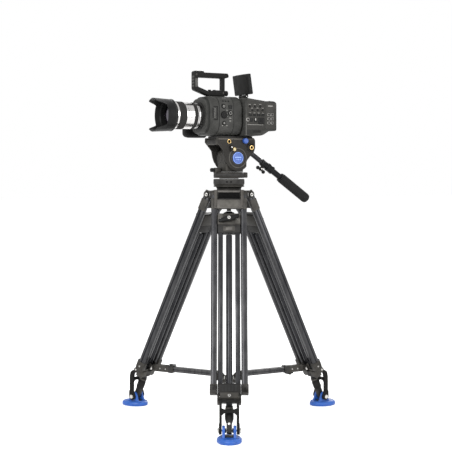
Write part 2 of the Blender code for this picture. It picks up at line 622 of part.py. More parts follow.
pivot("plate_lock", P(-28, 37, 739.8), "tilt")
finish("plate_lock_knob", combine(cyl(P(-28, 36.5, 739.8), P(-28, 46, 739.8), 7.5, 12, bevel=0.9),
                                  [cyl(P(-28, 31.5, 739.8), P(-28, 38, 739.8), 3.0, 8)]), BLUE, "plate_lock", P(-28, 37, 739.8))
pivot("tilt_lock", P(13.7, 37, 722.8), "tilt")
finish("tilt_lock_lever", combine(cyl(P(13.7, 36.5, 722.8), P(13.7, 43, 722.8), 4.6, 10, bevel=0.6),
                                  [cyl(P(13.7, 31.6, 722.8), P(13.7, 38, 722.8), 2.4, 8),
                                   hbox(11.2, 16.2, 39.2, 42.6, 711.5, 724, bevel=0.8, segs=1)]), BLACK, "tilt_lock", P(13.7, 37, 722.8))

# sliding camera plate
pivot("plate", P(0, 0, 748.5), "tilt")
finish("sliding_plate", hbox(-58, 50, -25.9, 25.9, 744.4, PLATE_TOP, bevel=1.2, segs=1, axes="xy"), BLACK, "plate", P(0, 0, 748.5))

# ---------------------------------------------------------------- pan bar, on the head's right side
BAR_DEG, BAR_Y = 35.3, 50.0          # slope below level, and offset to the camera's right
CB, SB = math.cos(rad(BAR_DEG)), math.sin(rad(BAR_DEG))
BAR_START = (100.4, 706.1)           # where the bar's axis is measured from


def bp(t, p=0.0, w=0.0):
    """Point t along the bar, p square to it (down and forward), w to the right."""
    return (BAR_START[0] + t * CB - p * SB, BAR_Y + w, BAR_START[1] - t * SB - p * CB)


BAR_AXIS = Matrix.Translation(Vector(bp(0)) * MM) @ Matrix(((-SB, 0, CB, 0), (0, 1, 0, 0), (-CB, 0, -SB, 0), (0, 0, 0, 1)))
pivot("bar", P(-50, -50, 727), "tilt")
finish("pan_bar_rod", combine(cyl(bp(-60), bp(108), 7.0, 12, bevel=0.8),
                              [cyl(P(-50, -41.4, 727), P(-50, -57.5, 727), 13.0, 20, bevel=1.0)]), TUBE, "bar", P(-50, -50, 727))
pivot("bar_ext", bp(34), "bar")
sleeve = turned([(8.5, 200), (8.5, 77.5), (11.2, 77), (11.4, 76), (11.4, 57), (9.8, 56.4), (9.8, 35), (9, 34), (7.35, 34), (7.35, 200)],
                16, BAR_AXIS)
finish("pan_bar_tube", combine(sleeve, [], [cyl(bp(45, 6), bp(45, 13), 2.9, 8)]), TUBE, "bar_ext", bp(34))
finish("pan_bar_grip", turned([(0, 217), (9, 217), (12.6, 214.5), (13.8, 210), (13.8, 114), (12.5, 109.5), (8.8, 109.5), (8.8, 202), (0, 202)],
                              16, BAR_AXIS), BLACK, "bar_ext", bp(160))
pivot("wing", bp(45, 10), "bar_ext")
wing = combine(cyl(bp(45, 7.7), bp(45, 24), 2.6, 8),
               [cyl(bp(45, 10.2), bp(45, 22), 4.6, 10), cyl(bp(34.5, 19.5), bp(55.5, 19.5), 3.2, 8),
                cyl(bp(34.5, 19.5, -2.6), bp(34.5, 19.5, 2.6), 5.2, 10), cyl(bp(55.5, 19.5, -2.6), bp(55.5, 19.5, 2.6), 5.2, 10)])
finish("bar_wing_screw", wing, BLACK, "wing", bp(45, 10))

# ================================================================ camcorder, riding on the sliding plate
drum = hbox(-12, 82, -52, 52, BODY_BOTTOM, 856.3, bevel=34, segs=5, axes="x")
neck = hbox(-16.2, -10, -44, 44, 758, 850, bevel=28, segs=3, axes="x")
nose = hbox(80, 90, -46, 46, 759, 850.5, bevel=26, segs=3, axes="x")
foot = hbox(-5, 70, -24, 24, BODY_BOTTOM, 762)
shoe = hbox(18, 66, -13, 13, 850, 857.5)
grip_boss = cyl(P(45, -48, 800), P(45, -63.5, 800), 20, 20)
cuts = [cyl(P(83.9, 0, OPT_Z), P(95, 0, OPT_Z), 31, 24), cyl(P(45, -55.5, 800), P(45, -65, 800), 5.3, 10)]
finish("camera_front_body", combine(drum, [neck, nose, foot, shoe, grip_boss], cuts), GREY, "plate", P(0, 0, BODY_BOTTOM))
rear = [(-17, 753.2), (-17, 853), (-45, 849.5), (-88, 844.5), (-90, 846.5), (-105, 845.5), (-110, 842), (-111.5, 838), (-111.5, 770),
        (-109, 766.6), (-90, 766.4), (-72, 756), (-62, 753.2)]
finish("camera_rear_body", side_prism(rear, -57, 63), GREY, "plate", P(-60, 0, BODY_BOTTOM))
finish("battery_pack", hbox(-124, -111.9, -21, 21, 772, 832, bevel=3), BLACK, "plate", P(-118, 0, 802))

# zoom lens: profiles run along the optical axis
barrel = [(0, 174.5), (27.4, 174.5), (27.4, 186), (31.7, 186), (31.7, 166.1), (35, 165.4), (35, 160.5), (32.2, 160.3), (32.2, 140.3),
          (35, 140.1), (35, 117.9), (32.2, 117.7), (32.2, 106.9), (33.4, 106.6), (33.4, 100.4), (30.5, 99.6), (28.5, 90.5), (28.5, 84.4),
          (0, 84.4)]
finish("lens_barrel", turned(barrel, 32, LENS), SILVER, "plate", P(120, 0, OPT_Z))
pivot("zoom", P(150, 0, OPT_Z), "plate")
finish("zoom_ring", turned([(32.5, 160.0), (36.2, 160.0), (36.2, 140.6), (32.5, 140.6)], 32, LENS),
       RUBBER, "zoom", P(150, 0, OPT_Z))
pivot("focus", P(112, 0, OPT_Z), "plate")
finish("focus_ring", turned([(32.5, 117.4), (34.8, 117.4), (34.8, 107.2), (32.5, 107.2)], 32, LENS),
       BLACK, "focus", P(112, 0, OPT_Z))
finish("front_lens_element", turned([(0, 183), (10, 182.2), (18, 180), (24, 177), (27, 175), (0, 175)], 24, LENS), GLASS, "plate",
       P(178, 0, OPT_Z))

# petal hood: a flared shell whose rim is cut back at both sides
pivot("hood", P(170, 0, OPT_Z), "plate")
shell = turned([(43.8, 223.5), (41.0, 172.0), (36.5, 166.4), (32.1, 166.4), (32.1, 178.0), (38.5, 186.0), (41.6, 223.5)], 32, LENS)
saddle = side_prism([(197.8, OPT_Z - 25.5), (197.8, OPT_Z + 25.5), (222, OPT_Z + 35.5), (230, OPT_Z + 35.5), (230, OPT_Z - 35.5),
                     (222, OPT_Z - 35.5)], -60, 60)
finish("lens_hood", combine(shell, [], [saddle]), BLACK, "hood", P(170, 0, OPT_Z))

# top handle with its finger gap, and the clamp knob behind it
handle_out = [(80, 922.8), (104, 922.8), (107, 919.5), (107, 876), (104, 871.5), (66, 857.8), (17.5, 857.8), (17.5, 905.7), (6, 907.5),
              (5.5, 916.5), (8, 918.5), (80, 918.5)]
handle_gap = [(96.8, 905.3), (96.8, 881), (62, 868.5), (58, 871.8), (23.7, 871.8), (23.7, 905.3)]
finish("top_handle", combine(side_prism(handle_out, -11, 11, [handle_gap]), [], [cyl(P(10, 0, 866), P(27, 0, 866), 3.1, 8)]),
       BLACK, "plate", P(60, 0, 858))
pivot("handle_knob", P(11, 0, 866), "plate")
finish("handle_clamp_knob", combine(cyl(P(5, 0, 866), P(16.9, 0, 866), 7.3, 12, bevel=0.9), [cyl(P(16, 0, 866), P(25, 0, 866), 2.8, 8)]),
       BLACK, "handle_knob", P(11, 0, 866))

# fold-out monitor: a post that swivels, and the screen's hinge through its head
pivot("lcd_swivel", P(-44, 0, 852), "plate")
post = combine(cyl(P(-44, 0, 851.3), P(-44, 0, 856.5), 8.0, 14, bevel=0.5),
               [cyl(P(-44, 0, 855), P(-44, 0, 859.5), 5.0, 10), cyl(P(-44, -13.9, 859.5), P(-44, 13.9, 859.5), 4.0, 10),
                cyl(P(-44, -19.5, 859.5), P(-44, 19.5, 859.5), 1.7, 8)])
finish("lcd_post", post, BLACK, "lcd_swivel", P(-44, 0, 852))
pivot("lcd", P(-44, 0, 859.5), "lcd_swivel")
screen = hbox(-51.8, -40.8, -42, 42, 863.7, 918.3, bevel=2.5, segs=1, axes="xy")
lugs = []
for side in (1, -1):
    lugs.append(hbox(-47.6, -41.6, side * 14.8, side * 19.6, 859.5, 866))
    lugs.append(cyl(P(-44, side * 14.4, 859.5), P(-44, side * 20, 859.5), 4.5, 10))
tip = Matrix.Translation(Vector(P(-44, 0, 859.5)) * MM) @ Matrix.Rotation(rad(-8.4), 4, "Y") @ \
    Matrix.Translation(-Vector(P(-44, 0, 859.5)) * MM)
monitor = combine(screen, lugs, [cyl(P(-44, -24, 859.5), P(-44, 24, 859.5), 2.0, 8)])
finish("lcd_monitor", moved(monitor, tip), BLACK, "lcd", P(-44, 0, 859.5))

# side grip on its rosette
pivot("grip", P(45, -64, 800), "plate")
grip = hbox(30, 97, -90, -66, 749.5, 822, bevel=10, segs=2, axes="y")
finish("side_grip", combine(grip, [cyl(P(45, -63.9, 800), P(45, -67, 800), 18, 20), cyl(P(45, -56, 800), P(45, -65, 800), 5.0, 10)]),
       BLACK, "grip", P(45, -64, 800))
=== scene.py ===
"""Looks for the camcorder on its fluid head and twin-tube tripod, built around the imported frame.

Lengths below are millimetres about the tripod's axis; every helper converts to metres.
s runs forward along the lens, l to the camcorder's left.
"""
import math

import bmesh
import bpy
from mathutils import Matrix, Vector


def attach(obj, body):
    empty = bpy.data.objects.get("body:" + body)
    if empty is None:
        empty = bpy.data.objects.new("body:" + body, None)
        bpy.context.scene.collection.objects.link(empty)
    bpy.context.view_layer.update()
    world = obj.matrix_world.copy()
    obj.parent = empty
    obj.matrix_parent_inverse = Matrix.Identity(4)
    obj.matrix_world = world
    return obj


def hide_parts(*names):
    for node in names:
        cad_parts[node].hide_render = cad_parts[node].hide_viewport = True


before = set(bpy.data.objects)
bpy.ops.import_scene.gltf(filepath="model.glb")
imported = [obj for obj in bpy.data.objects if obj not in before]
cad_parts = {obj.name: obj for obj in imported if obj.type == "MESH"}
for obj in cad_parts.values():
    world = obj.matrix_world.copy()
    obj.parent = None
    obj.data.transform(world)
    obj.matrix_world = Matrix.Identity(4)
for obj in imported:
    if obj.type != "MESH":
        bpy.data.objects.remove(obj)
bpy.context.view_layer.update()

MM = 0.001
AXIS = (-61.145, 5.715)
SHIFT = Matrix.Translation((AXIS[0] * MM, AXIS[1] * MM, 0.0))
I4 = Matrix.Identity(4)
rad = math.radians

# ---------------------------------------------------------------- camera
yaw, pitch = rad(28.0), rad(2.41)
cam_data = bpy.data.cameras.new("view")
cam_data.lens = 89.9
cam_data.sensor_width = 36.0
cam_data.clip_end = 200
cam = bpy.data.objects.new("view", cam_data)
bpy.context.scene.collection.objects.link(cam)
look = Vector((math.sin(yaw) * math.cos(pitch), math.cos(yaw) * math.cos(pitch), -math.sin(pitch)))
side = Vector((math.cos(yaw), -math.sin(yaw), 0))
flat = Vector((math.sin(yaw), math.cos(yaw), 0))
cam.location = Vector((AXIS[0] * MM, AXIS[1] * MM, 0)) - flat * 3.025 - side * 0.0079 + Vector((0, 0, 0.640))
cam.rotation_euler = look.to_track_quat("-Z", "Y").to_euler()
bpy.context.scene.camera = cam


# ---------------------------------------------------------------- materials
def nodes_of(name):
    mat = bpy.data.materials.new(name)
    mat.use_nodes = True
    tree = mat.node_tree
    return mat, tree, tree.nodes["Principled BSDF"]


def surface(name, colour, rough, metal=0.0, spread=0.18, patch=60.0, grain=900.0, bump=0.12, depth=0.0002, rough_spread=0.10,
            wear_and_edge_highlight=0.0, worn_and_highlight_colour=(0.35, 0.34, 0.33), stretch=(1, 1, 1), coat=0.0, weave=None):
    """Procedural finish: slow colour patches, fine grain in the bump and the roughness, and a lighter colour on raised
    edges, partly wear and partly painted highlight.
    """
    mat, tree, bsdf = nodes_of(name)
    n, link = tree.nodes, tree.links
    bsdf.inputs["Metallic"].default_value = metal
    if max(colour) < 0.2:
        colour = tuple(c * 0.40 for c in colour)
        bsdf.inputs["Specular IOR Level"].default_value = 0.12
    if coat:
        bsdf.inputs["Coat Weight"].default_value = coat
        bsdf.inputs["Coat Roughness"].default_value = 0.15
    coord = n.new("ShaderNodeTexCoord")
    mapping = n.new("ShaderNodeMapping")
    mapping.inputs["Scale"].default_value = stretch
    link.new(coord.outputs["Object"], mapping.inputs["Vector"])
    slow = n.new("ShaderNodeTexNoise")
    slow.inputs["Scale"].default_value = patch
    slow.inputs["Detail"].default_value = 5
    link.new(mapping.outputs["Vector"], slow.inputs["Vector"])
    ramp = n.new("ShaderNodeValToRGB")
    ramp.color_ramp.elements[0].position = 0.3
    ramp.color_ramp.elements[1].position = 0.72
    ramp.color_ramp.elements[0].color = tuple(c * (1 - spread) for c in colour) + (1,)
    ramp.color_ramp.elements[1].color = tuple(min(1, c * (1 + spread)) for c in colour) + (1,)
    link.new(slow.outputs["Fac"], ramp.inputs["Fac"])
    out = ramp.outputs["Color"]
    fine = n.new("ShaderNodeTexNoise")
    fine.inputs["Scale"].default_value = grain
    fine.inputs["Detail"].default_value = 3
    link.new(mapping.outputs["Vector"], fine.inputs["Vector"])
    speck = n.new("ShaderNodeMix")
    speck.data_type = "RGBA"
    speck.blend_type = "MULTIPLY"
    speck.inputs["Factor"].default_value = 0.35
    tone = n.new("ShaderNodeMapRange")
    tone.inputs["From Min"].default_value = 0.3
    tone.inputs["From Max"].default_value = 0.7
    tone.inputs["To Min"].default_value = 0.6
    tone.inputs["To Max"].default_value = 1.25
    link.new(fine.outputs["Fac"], tone.inputs["Value"])
    link.new(out, speck.inputs["A"])
    link.new(tone.outputs["Result"], speck.inputs["B"])
    out = speck.outputs["Result"]
    # raised edges are mixed towards a lighter colour: partly wear, partly a painted highlight along rims and edges
    if wear_and_edge_highlight:
        geo = n.new("ShaderNodeNewGeometry")
        edge = n.new("ShaderNodeMapRange")
        edge.inputs["From Min"].default_value = 0.52
        edge.inputs["From Max"].default_value = 0.62
        edge.inputs["To Max"].default_value = wear_and_edge_highlight
        link.new(geo.outputs["Pointiness"], edge.inputs["Value"])
        wear_and_highlight_mask = n.new("ShaderNodeMath")
        wear_and_highlight_mask.operation = "MULTIPLY"
        link.new(edge.outputs["Result"], wear_and_highlight_mask.inputs[0])
        link.new(slow.outputs["Fac"], wear_and_highlight_mask.inputs[1])
        mix = n.new("ShaderNodeMix")
        mix.data_type = "RGBA"
        link.new(wear_and_highlight_mask.outputs["Value"], mix.inputs["Factor"])
        link.new(out, mix.inputs["A"])
        mix.inputs["B"].default_value = (*worn_and_highlight_colour, 1)
        out = mix.outputs["Result"]
    link.new(out, bsdf.inputs["Base Color"])
    r = n.new("ShaderNodeMapRange")
    r.inputs["From Min"].default_value = 0.3
    r.inputs["From Max"].default_value = 0.7
    r.inputs["To Min"].default_value = max(0.02, rough - rough_spread)
    r.inputs["To Max"].default_value = min(1.0, rough + rough_spread)
    link.new(slow.outputs["Fac"], r.inputs["Value"])
    link.new(r.outputs["Result"], bsdf.inputs["Roughness"])
    b = n.new("ShaderNodeBump")
    b.inputs["Strength"].default_value = bump
    b.inputs["Distance"].default_value = depth
    link.new(fine.outputs["Fac"], b.inputs["Height"])
    if weave:
        cell = n.new("ShaderNodeTexVoronoi")
        cell.inputs["Scale"].default_value = weave
        link.new(mapping.outputs["Vector"], cell.inputs["Vector"])
        b2 = n.new("ShaderNodeBump")
        b2.inputs["Strength"].default_value = 0.45
        b2.inputs["Distance"].default_value = 0.0003
        link.new(cell.outputs["Distance"], b2.inputs["Height"])
        link.new(b.outputs["Normal"], b2.inputs["Normal"])
        b = b2
    link.new(b.outputs["Normal"], bsdf.inputs["Normal"])
    return mat


# the edge amounts and colours below lighten raised edges, partly as wear and partly as painted highlight
CAST = surface("cast_enamel", (0.044, 0.041, 0.037), 0.50, 0.15, spread=0.2, grain=1500, bump=0.35, wear_and_edge_highlight=0.6, worn_and_highlight_colour=(0.2, 0.19, 0.17))
CAST_LIGHT = surface("cast_light", (0.135, 0.125, 0.112), 0.46, 0.3, spread=0.14, grain=1500, bump=0.35, wear_and_edge_highlight=0.4)
CAST_DARK = surface("cast_dark", (0.022, 0.021, 0.020), 0.55, 0.1, spread=0.25, grain=1300, bump=0.35, wear_and_edge_highlight=0.25)
ANOD = surface("anodised_tube", (0.032, 0.034, 0.042), 0.28, 0.55, spread=0.10, grain=2600, bump=0.05, stretch=(1, 1, 0.08), wear_and_edge_highlight=0.35,
               rough_spread=0.06)
ANOD_DARK = surface("anodised_dark", (0.026, 0.027, 0.030), 0.40, 0.5, spread=0.12, grain=2600, bump=0.05, wear_and_edge_highlight=0.2)
BLACK = surface("black_moulding", (0.014, 0.014, 0.014), 0.48, spread=0.25, grain=1700, bump=0.3, wear_and_edge_highlight=0.15, worn_and_highlight_colour=(0.12, 0.12, 0.12))
BODY = surface("camcorder_paint", (0.044, 0.045, 0.042), 0.48, spread=0.16, grain=2600, bump=0.35, wear_and_edge_highlight=0.7, worn_and_highlight_colour=(0.17, 0.165, 0.155))
BODY_DARK = surface("camcorder_dark", (0.016, 0.016, 0.015), 0.55, spread=0.2, grain=2400, bump=0.3, wear_and_edge_highlight=0.15, worn_and_highlight_colour=(0.1, 0.1, 0.1))
PANEL = surface("control_panel", (0.068, 0.066, 0.060), 0.48, spread=0.10, grain=2400, bump=0.25, wear_and_edge_highlight=0.1, worn_and_highlight_colour=(0.16, 0.16, 0.15))
KEY = surface("button_caps", (0.012, 0.012, 0.012), 0.4, spread=0.1, grain=2600, bump=0.12, wear_and_edge_highlight=0.2, worn_and_highlight_colour=(0.14, 0.14, 0.14))
INK = surface("pale_marks", (0.34, 0.33, 0.31), 0.6, spread=0.08, bump=0.03)
RUBBER = surface("grip_rubber", (0.024, 0.023, 0.022), 0.78, spread=0.15, grain=1900, bump=0.5, depth=0.0003)
LENS_RUB = surface("lens_rubber", (0.060, 0.058, 0.056), 0.70, spread=0.12, grain=2200, bump=0.35)
FOAM = surface("bar_grip", (0.030, 0.030, 0.030), 0.82, spread=0.15, grain=1600, bump=0.5, depth=0.0004, weave=1100)
BLUE = surface("blue_rubber", (0.007, 0.072, 0.330), 0.46, spread=0.12, grain=900, bump=0.2, wear_and_edge_highlight=0.3, worn_and_highlight_colour=(0.07, 0.20, 0.60))
BLUE_GLOSS = surface("blue_enamel", (0.022, 0.070, 0.280), 0.36, 0.0, spread=0.06, grain=2200, bump=0.06, coat=0.1)
PALE_BLUE = surface("pale_blue_print", (0.20, 0.31, 0.66), 0.4, spread=0.05, bump=0.03)
SILVER = surface("lens_silver", (0.56, 0.55, 0.54), 0.20, 1.0, spread=0.05, patch=30, grain=1600, bump=0.05, stretch=(18, 1, 1), rough_spread=0.06)
STEEL = surface("bright_steel", (0.50, 0.49, 0.47), 0.28, 1.0, spread=0.1, grain=2400, bump=0.08)
BRASS = surface("brass", (0.60, 0.42, 0.18), 0.26, 1.0, spread=0.12, grain=2200, bump=0.06)
HOOD = surface("hood_black", (0.020, 0.020, 0.020), 0.42, spread=0.15, grain=2300, bump=0.2, wear_and_edge_highlight=0.25, worn_and_highlight_colour=(0.11, 0.11, 0.11))
MATT = surface("baffle_matt", (0.006, 0.006, 0.006), 0.9, spread=0.2, bump=0.2)
CREAM = surface("bubble_cream", (0.46, 0.42, 0.24), 0.18, spread=0.08, bump=0.02, coat=0.6)
SCREEN = surface("screen_glass", (0.008, 0.009, 0.011), 0.10, spread=0.2, rough_spread=0.03, bump=0.0, coat=0.8)


def glass_dome():
    mat, tree, bsdf = nodes_of("coated_element")
    n, link = tree.nodes, tree.links
    noise = n.new("ShaderNodeTexNoise")
    noise.inputs["Scale"].default_value = 14
    ramp = n.new("ShaderNodeValToRGB")
    ramp.color_ramp.elements[0].color = (0.004, 0.003, 0.005, 1)
    ramp.color_ramp.elements[1].color = (0.010, 0.006, 0.011, 1)
    coord = n.new("ShaderNodeTexCoord")
    link.new(coord.outputs["Object"], noise.inputs["Vector"])
    link.new(noise.outputs["Fac"], ramp.inputs["Fac"])
    link.new(ramp.outputs["Color"], bsdf.inputs["Base Color"])
    bsdf.inputs["Roughness"].default_value = 0.03
    bsdf.inputs["Coat Weight"].default_value = 0.5
    bsdf.inputs["Coat Roughness"].default_value = 0.02
    bsdf.inputs["Coat Tint"].default_value = (0.85, 0.78, 1.0, 1)
    return mat


GLASS = glass_dome()


# ---------------------------------------------------------------- geometry kit
def fillet(points, r, n=4):
    """Rounds every corner of a closed outline."""
    out = []
    count = len(points)
    for i in range(count):
        a, b, c = Vector(points[i - 1]), Vector(points[i]), Vector(points[(i + 1) % count])
        d1, d2 = (a - b), (c - b)
        if d1.length < 1e-6 or d2.length < 1e-6:
            continue
        k = min(r, 0.46 * d1.length, 0.46 * d2.length)
        p, q = b + d1.normalized() * k, b + d2.normalized() * k
        for j in range(n + 1):
            t = j / n
            v = p * (1 - t) ** 2 + b * 2 * t * (1 - t) + q * t * t
            out.append((v.x, v.y))
    return out


def rrect(w, h, r, n=5):
    """Outline of a rounded rectangle about the origin, counter-clockwise."""
    pts = []
    for cx, cy, a0 in ((w / 2 - r, h / 2 - r, 0), (-w / 2 + r, h / 2 - r, 90), (-w / 2 + r, -h / 2 + r, 180), (w / 2 - r, -h / 2 + r, 270)):
        for i in range(n + 1):
            a = rad(a0 + 90 * i / n)
            pts.append((cx + r * math.cos(a), cy + r * math.sin(a)))
    return pts


def arc(cx, cy, r, a0, a1, n):
    return [(cx + r * math.cos(rad(a0 + (a1 - a0) * i / n)), cy + r * math.sin(rad(a0 + (a1 - a0) * i / n))) for i in range(n + 1)]


def along(start, direction):
    d = Vector(direction).normalized()
    return Matrix.Translation(Vector(start) * MM) @ d.to_track_quat("Z", "Y").to_matrix().to_4x4()


class Piece:
    """One object made of many closed shells, each with its own finish."""

    def __init__(self, name, base=I4):
        self.name, self.bm, self.looks, self.base = name, bmesh.new(), [], base

    def take(self, bm, finish, at=I4):
        if finish not in self.looks:
            self.looks.append(finish)
        k = self.looks.index(finish)
        bmesh.ops.transform(bm, matrix=self.base @ at, verts=bm.verts)
        bmesh.ops.recalc_face_normals(bm, faces=bm.faces)
        for f in bm.faces:
            f.material_index = k
            f.smooth = True
        mesh = bpy.data.meshes.new("shell")
        bm.to_mesh(mesh)
        bm.free()
        self.bm.from_mesh(mesh)
        bpy.data.meshes.remove(mesh)
        return self

    def lathe(self, profile, finish, at=I4, steps=64, flutes=None, start=0.0, cut=None):
        """profile lists (radius, z); flutes = (count, least radius, depth); cut maps (ring point, angle) to a new z."""
        bm = bmesh.new()
        rings = []
        for r, z in profile:
            if r == 0:
                rings.append([bm.verts.new((0, 0, z * MM))])
                continue
            ring = []
            for i in range(steps):
                a = 2 * math.pi * i / steps + start
                rr = r
                if flutes and r >= flutes[1] and (i * flutes[0] / steps) % 1 < 0.45:
                    rr = r - flutes[2]
                zz = cut(z, a) if cut else z
                ring.append(bm.verts.new((rr * math.cos(a) * MM, rr * math.sin(a) * MM, zz * MM)))
            rings.append(ring)
        pairs = list(zip(rings, rings[1:]))
        if len(rings[0]) > 1 or len(rings[-1]) > 1:
            pairs.append((rings[-1], rings[0]))
        for a, b in pairs:
            for i in range(steps):
                j = (i + 1) % steps
                ring = [a[i % len(a)], a[j % len(a)], b[j % len(b)], b[i % len(b)]]
                face = []
                for v in ring:
                    if v not in face:
                        face.append(v)
                if len(face) > 2:
                    bm.faces.new(face)
        return self.take(bm, finish, at)

    def rod(self, p0, p1, r, finish, steps=32, bevel=0.4, r2=None):
        d = Vector(p1) - Vector(p0)
        ln, q = d.length, (r if r2 is None else r2)
        e = min(bevel, r * 0.5, q * 0.5, ln * 0.3)
        prof = [(0, 0), (r - e, 0), (r - 0.3 * e, 0.3 * e), (r, e), (q, ln - e), (q - 0.3 * e, ln - 0.3 * e), (q - e, ln), (0, ln)]
        return self.lathe(prof, finish, along(p0, d), steps)

    def block(self, x0, x1, y0, y1, z0, z1, finish, r=0.8, segs=2, at=I4, axes="xyz"):
        bm = bmesh.new()
        bmesh.ops.create_cube(bm, size=1.0)
        for v in bm.verts:
            v.co = Vector(((x0 + x1) / 2 + v.co.x * abs(x1 - x0), (y0 + y1) / 2 + v.co.y * abs(y1 - y0),
                           (z0 + z1) / 2 + v.co.z * abs(z1 - z0))) * MM
        if r:
            r = min(r, 0.42 * min(abs(x1 - x0), abs(y1 - y0), abs(z1 - z0)) if axes == "xyz" else r)
            edges = [e for e in bm.edges if "xyz"[max(range(3), key=lambda i: abs((e.verts[0].co - e.verts[1].co)[i]))] in axes]
            bmesh.ops.bevel(bm, geom=edges, offset=r * MM, segments=segs, profile=0.5, affect="EDGES")
            if axes != "xyz":
                rims = [e for e in bm.edges if e.calc_face_angle(0) > rad(60)]
                bmesh.ops.bevel(bm, geom=rims, offset=0.6 * MM, segments=2, profile=0.5, affect="EDGES", clamp_overlap=True)
        return self.take(bm, finish, at)

    def hblock(self, s0, s1, l0, l1, z0, z1, finish, **k):
        return self.block(-max(s0, s1), -min(s0, s1), -max(l0, l1), -min(l0, l1), z0, z1, finish, **k)

    def plate(self, points, thick, finish, at=I4, holes=(), bevel=0.6, round_corners=0.0):
        """Outline in local XY, extruded by thick about it, with softened rims."""
        curve = bpy.data.curves.new("outline", "CURVE")
        curve.dimensions = "2D"
        curve.fill_mode = "BOTH"
        bevel = min(bevel, thick * 0.4)
        curve.extrude = (thick / 2 - bevel) * MM
        curve.bevel_depth = bevel * MM
        curve.bevel_resolution = 2
        curve.offset = -bevel * MM
        for ring in [points, *holes]:
            if round_corners:
                ring = fillet(ring, round_corners)
            spline = curve.splines.new("POLY")
            spline.points.add(len(ring) - 1)
            for p, q in zip(spline.points, ring):
                p.co = (q[0] * MM, q[1] * MM, 0.0, 1.0)
            spline.use_cyclic_u = True
        obj = bpy.data.objects.new("outline", curve)
        bpy.context.scene.collection.objects.link(obj)
        bpy.context.view_layer.update()
        mesh = bpy.data.meshes.new_from_object(obj.evaluated_get(bpy.context.evaluated_depsgraph_get()))
        bpy.data.objects.remove(obj)
        bpy.data.curves.remove(curve)
        bm = bmesh.new()
        bm.from_mesh(mesh)
        bpy.data.meshes.remove(mesh)
        bmesh.ops.remove_doubles(bm, verts=bm.verts, dist=0.00002)
        return self.take(bm, finish, at)

    def loft(self, rings, finish, at=I4):
        """rings: lists of 3-D points (mm) of equal length, capped at both ends."""
        bm = bmesh.new()
        made = [[bm.verts.new(Vector(p) * MM) for p in ring] for ring in rings]
        n = len(made[0])
        for a, b in zip(made, made[1:]):
            for i in range(n):
                bm.faces.new([a[i], a[(i + 1) % n], b[(i + 1) % n], b[i]])
        bm.faces.new(made[0])
        bm.faces.new(made[-1])
        return self.take(bm, finish, at)

    def screw(self, at, r, finish=None, socket=True, h=1.2):
        """Socket-head screw on local Z."""
        finish = finish or STEEL
        self.lathe([(0, 0), (r, 0), (r, h * 0.7), (r * 0.86, h), (r * 0.5, h), (r * 0.45, h * 0.3), (0, h * 0.3)], finish, at, 24)
        if socket:
            self.lathe([(0, h * 0.3), (r * 0.44, h * 0.31), (r * 0.44, h * 0.42), (0, h * 0.42)], MATT, at, 6)
        return self

    def done(self, body, slot, *nodes, angle=34):
        mesh = bpy.data.meshes.new(self.name)
        self.bm.to_mesh(mesh)
        self.bm.free()
        for m in self.looks:
            mesh.materials.append(m)
        mesh.set_sharp_from_angle(angle=rad(angle))
        obj = bpy.data.objects.new(self.name, mesh)
        bpy.context.scene.collection.objects.link(obj)
        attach(obj, body)
        if nodes:
            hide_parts(*nodes)
        return obj


def P(s, l, z):
    return Vector((-s, -l, z))


SIDE = Matrix(((-1, 0, 0, 0), (0, 0, 1, 0), (0, 1, 0, 0), (0, 0, 0, 1)))
Y_UP = Matrix(((0, 0, 1, 0), (1, 0, 0, 0), (0, 1, 0, 0), (0, 0, 0, 1)))      # local X -> Y, Y -> Z, Z -> X
FRONT = Matrix(((1, 0, 0, 0), (0, 0, -1, 0), (0, 1, 0, 0), (0, 0, 0, 1)))    # local Y -> Z, Z -> -Y


def side_at(l):
    return Matrix.Translation((0, -l * MM, 0)) @ SIDE


OPT = 804.5
LENS = Matrix.Translation((0, 0, OPT * MM)) @ Matrix(((0, 0, -1, 0), (0, 1, 0, 0), (1, 0, 0, 0), (0, 0, 0, 1)))
LEFT = Vector((0, -1, 0))

# ================================================================ legs
AZIMUTH = {"front": 242.0, "left": 122.0, "right": 2.0}
SPREAD, HINGE_R, HINGE_Z = 24.5, 41.0, 597.5
CS, SS = math.cos(rad(SPREAD)), math.sin(rad(SPREAD))


def leg_matrix(which, tilted=True):
    m = SHIFT @ Matrix.Rotation(rad(AZIMUTH[which] - 270.0), 4, "Z")
    if tilted:
        m = m @ Matrix.Translation((0, -HINGE_R * MM, HINGE_Z * MM)) @ Matrix.Rotation(-rad(SPREAD), 4, "X")
    return m


def leg_point(u, n):
    return (HINGE_R + u * SS + n * CS, HINGE_Z - u * CS + n * SS)


def tube_section(w, d, r, outer, inner):
    """Rounded box section with a slot down its outer (+X) and inner (-X) faces."""
    gw, gd = outer
    iw, idp = inner
    pts = []
    pts += [(w / 2 - gd, -gw / 2), (w / 2 - gd, gw / 2), (w / 2, gw / 2 + 0.3)] if gd else []
    pts += arc(w / 2 - r, d / 2 - r, r, 0, 90, 6)
    pts += arc(-w / 2 + r, d / 2 - r, r, 90, 180, 6)
    pts += [(-w / 2, iw / 2 + 0.3), (-w / 2 + idp, iw / 2), (-w / 2 + idp, -iw / 2), (-w / 2, -iw / 2 - 0.3)] if idp else []
    pts += arc(-w / 2 + r, -d / 2 + r, r, 180, 270, 6)
    pts += arc(w / 2 - r, -d / 2 + r, r, 270, 360, 6)
    pts += [(w / 2, -gw / 2 - 0.3)] if gd else []
    return pts


def tube(piece, section, cx, cy, z0, z1, finish, flip=False):
    f = -1 if flip else 1
    rings = []
    for z, k in ((z0, 0.97), (z0 + 0.4, 1.0), (z1 - 0.4, 1.0), (z1, 0.97)):
        rings.append([(cx + f * x * k, cy + y * k, z) for x, y in section])
    piece.loft(rings, finish)


OUTER = tube_section(16.0, 20.0, 4.6, (3.0, 1.1), (5.0, 1.8))
MIDDLE = tube_section(12.5, 15.0, 3.6, (0, 0), (3.2, 1.4))
PIV_R, PIV_Z = leg_point(526.0, -18.5)

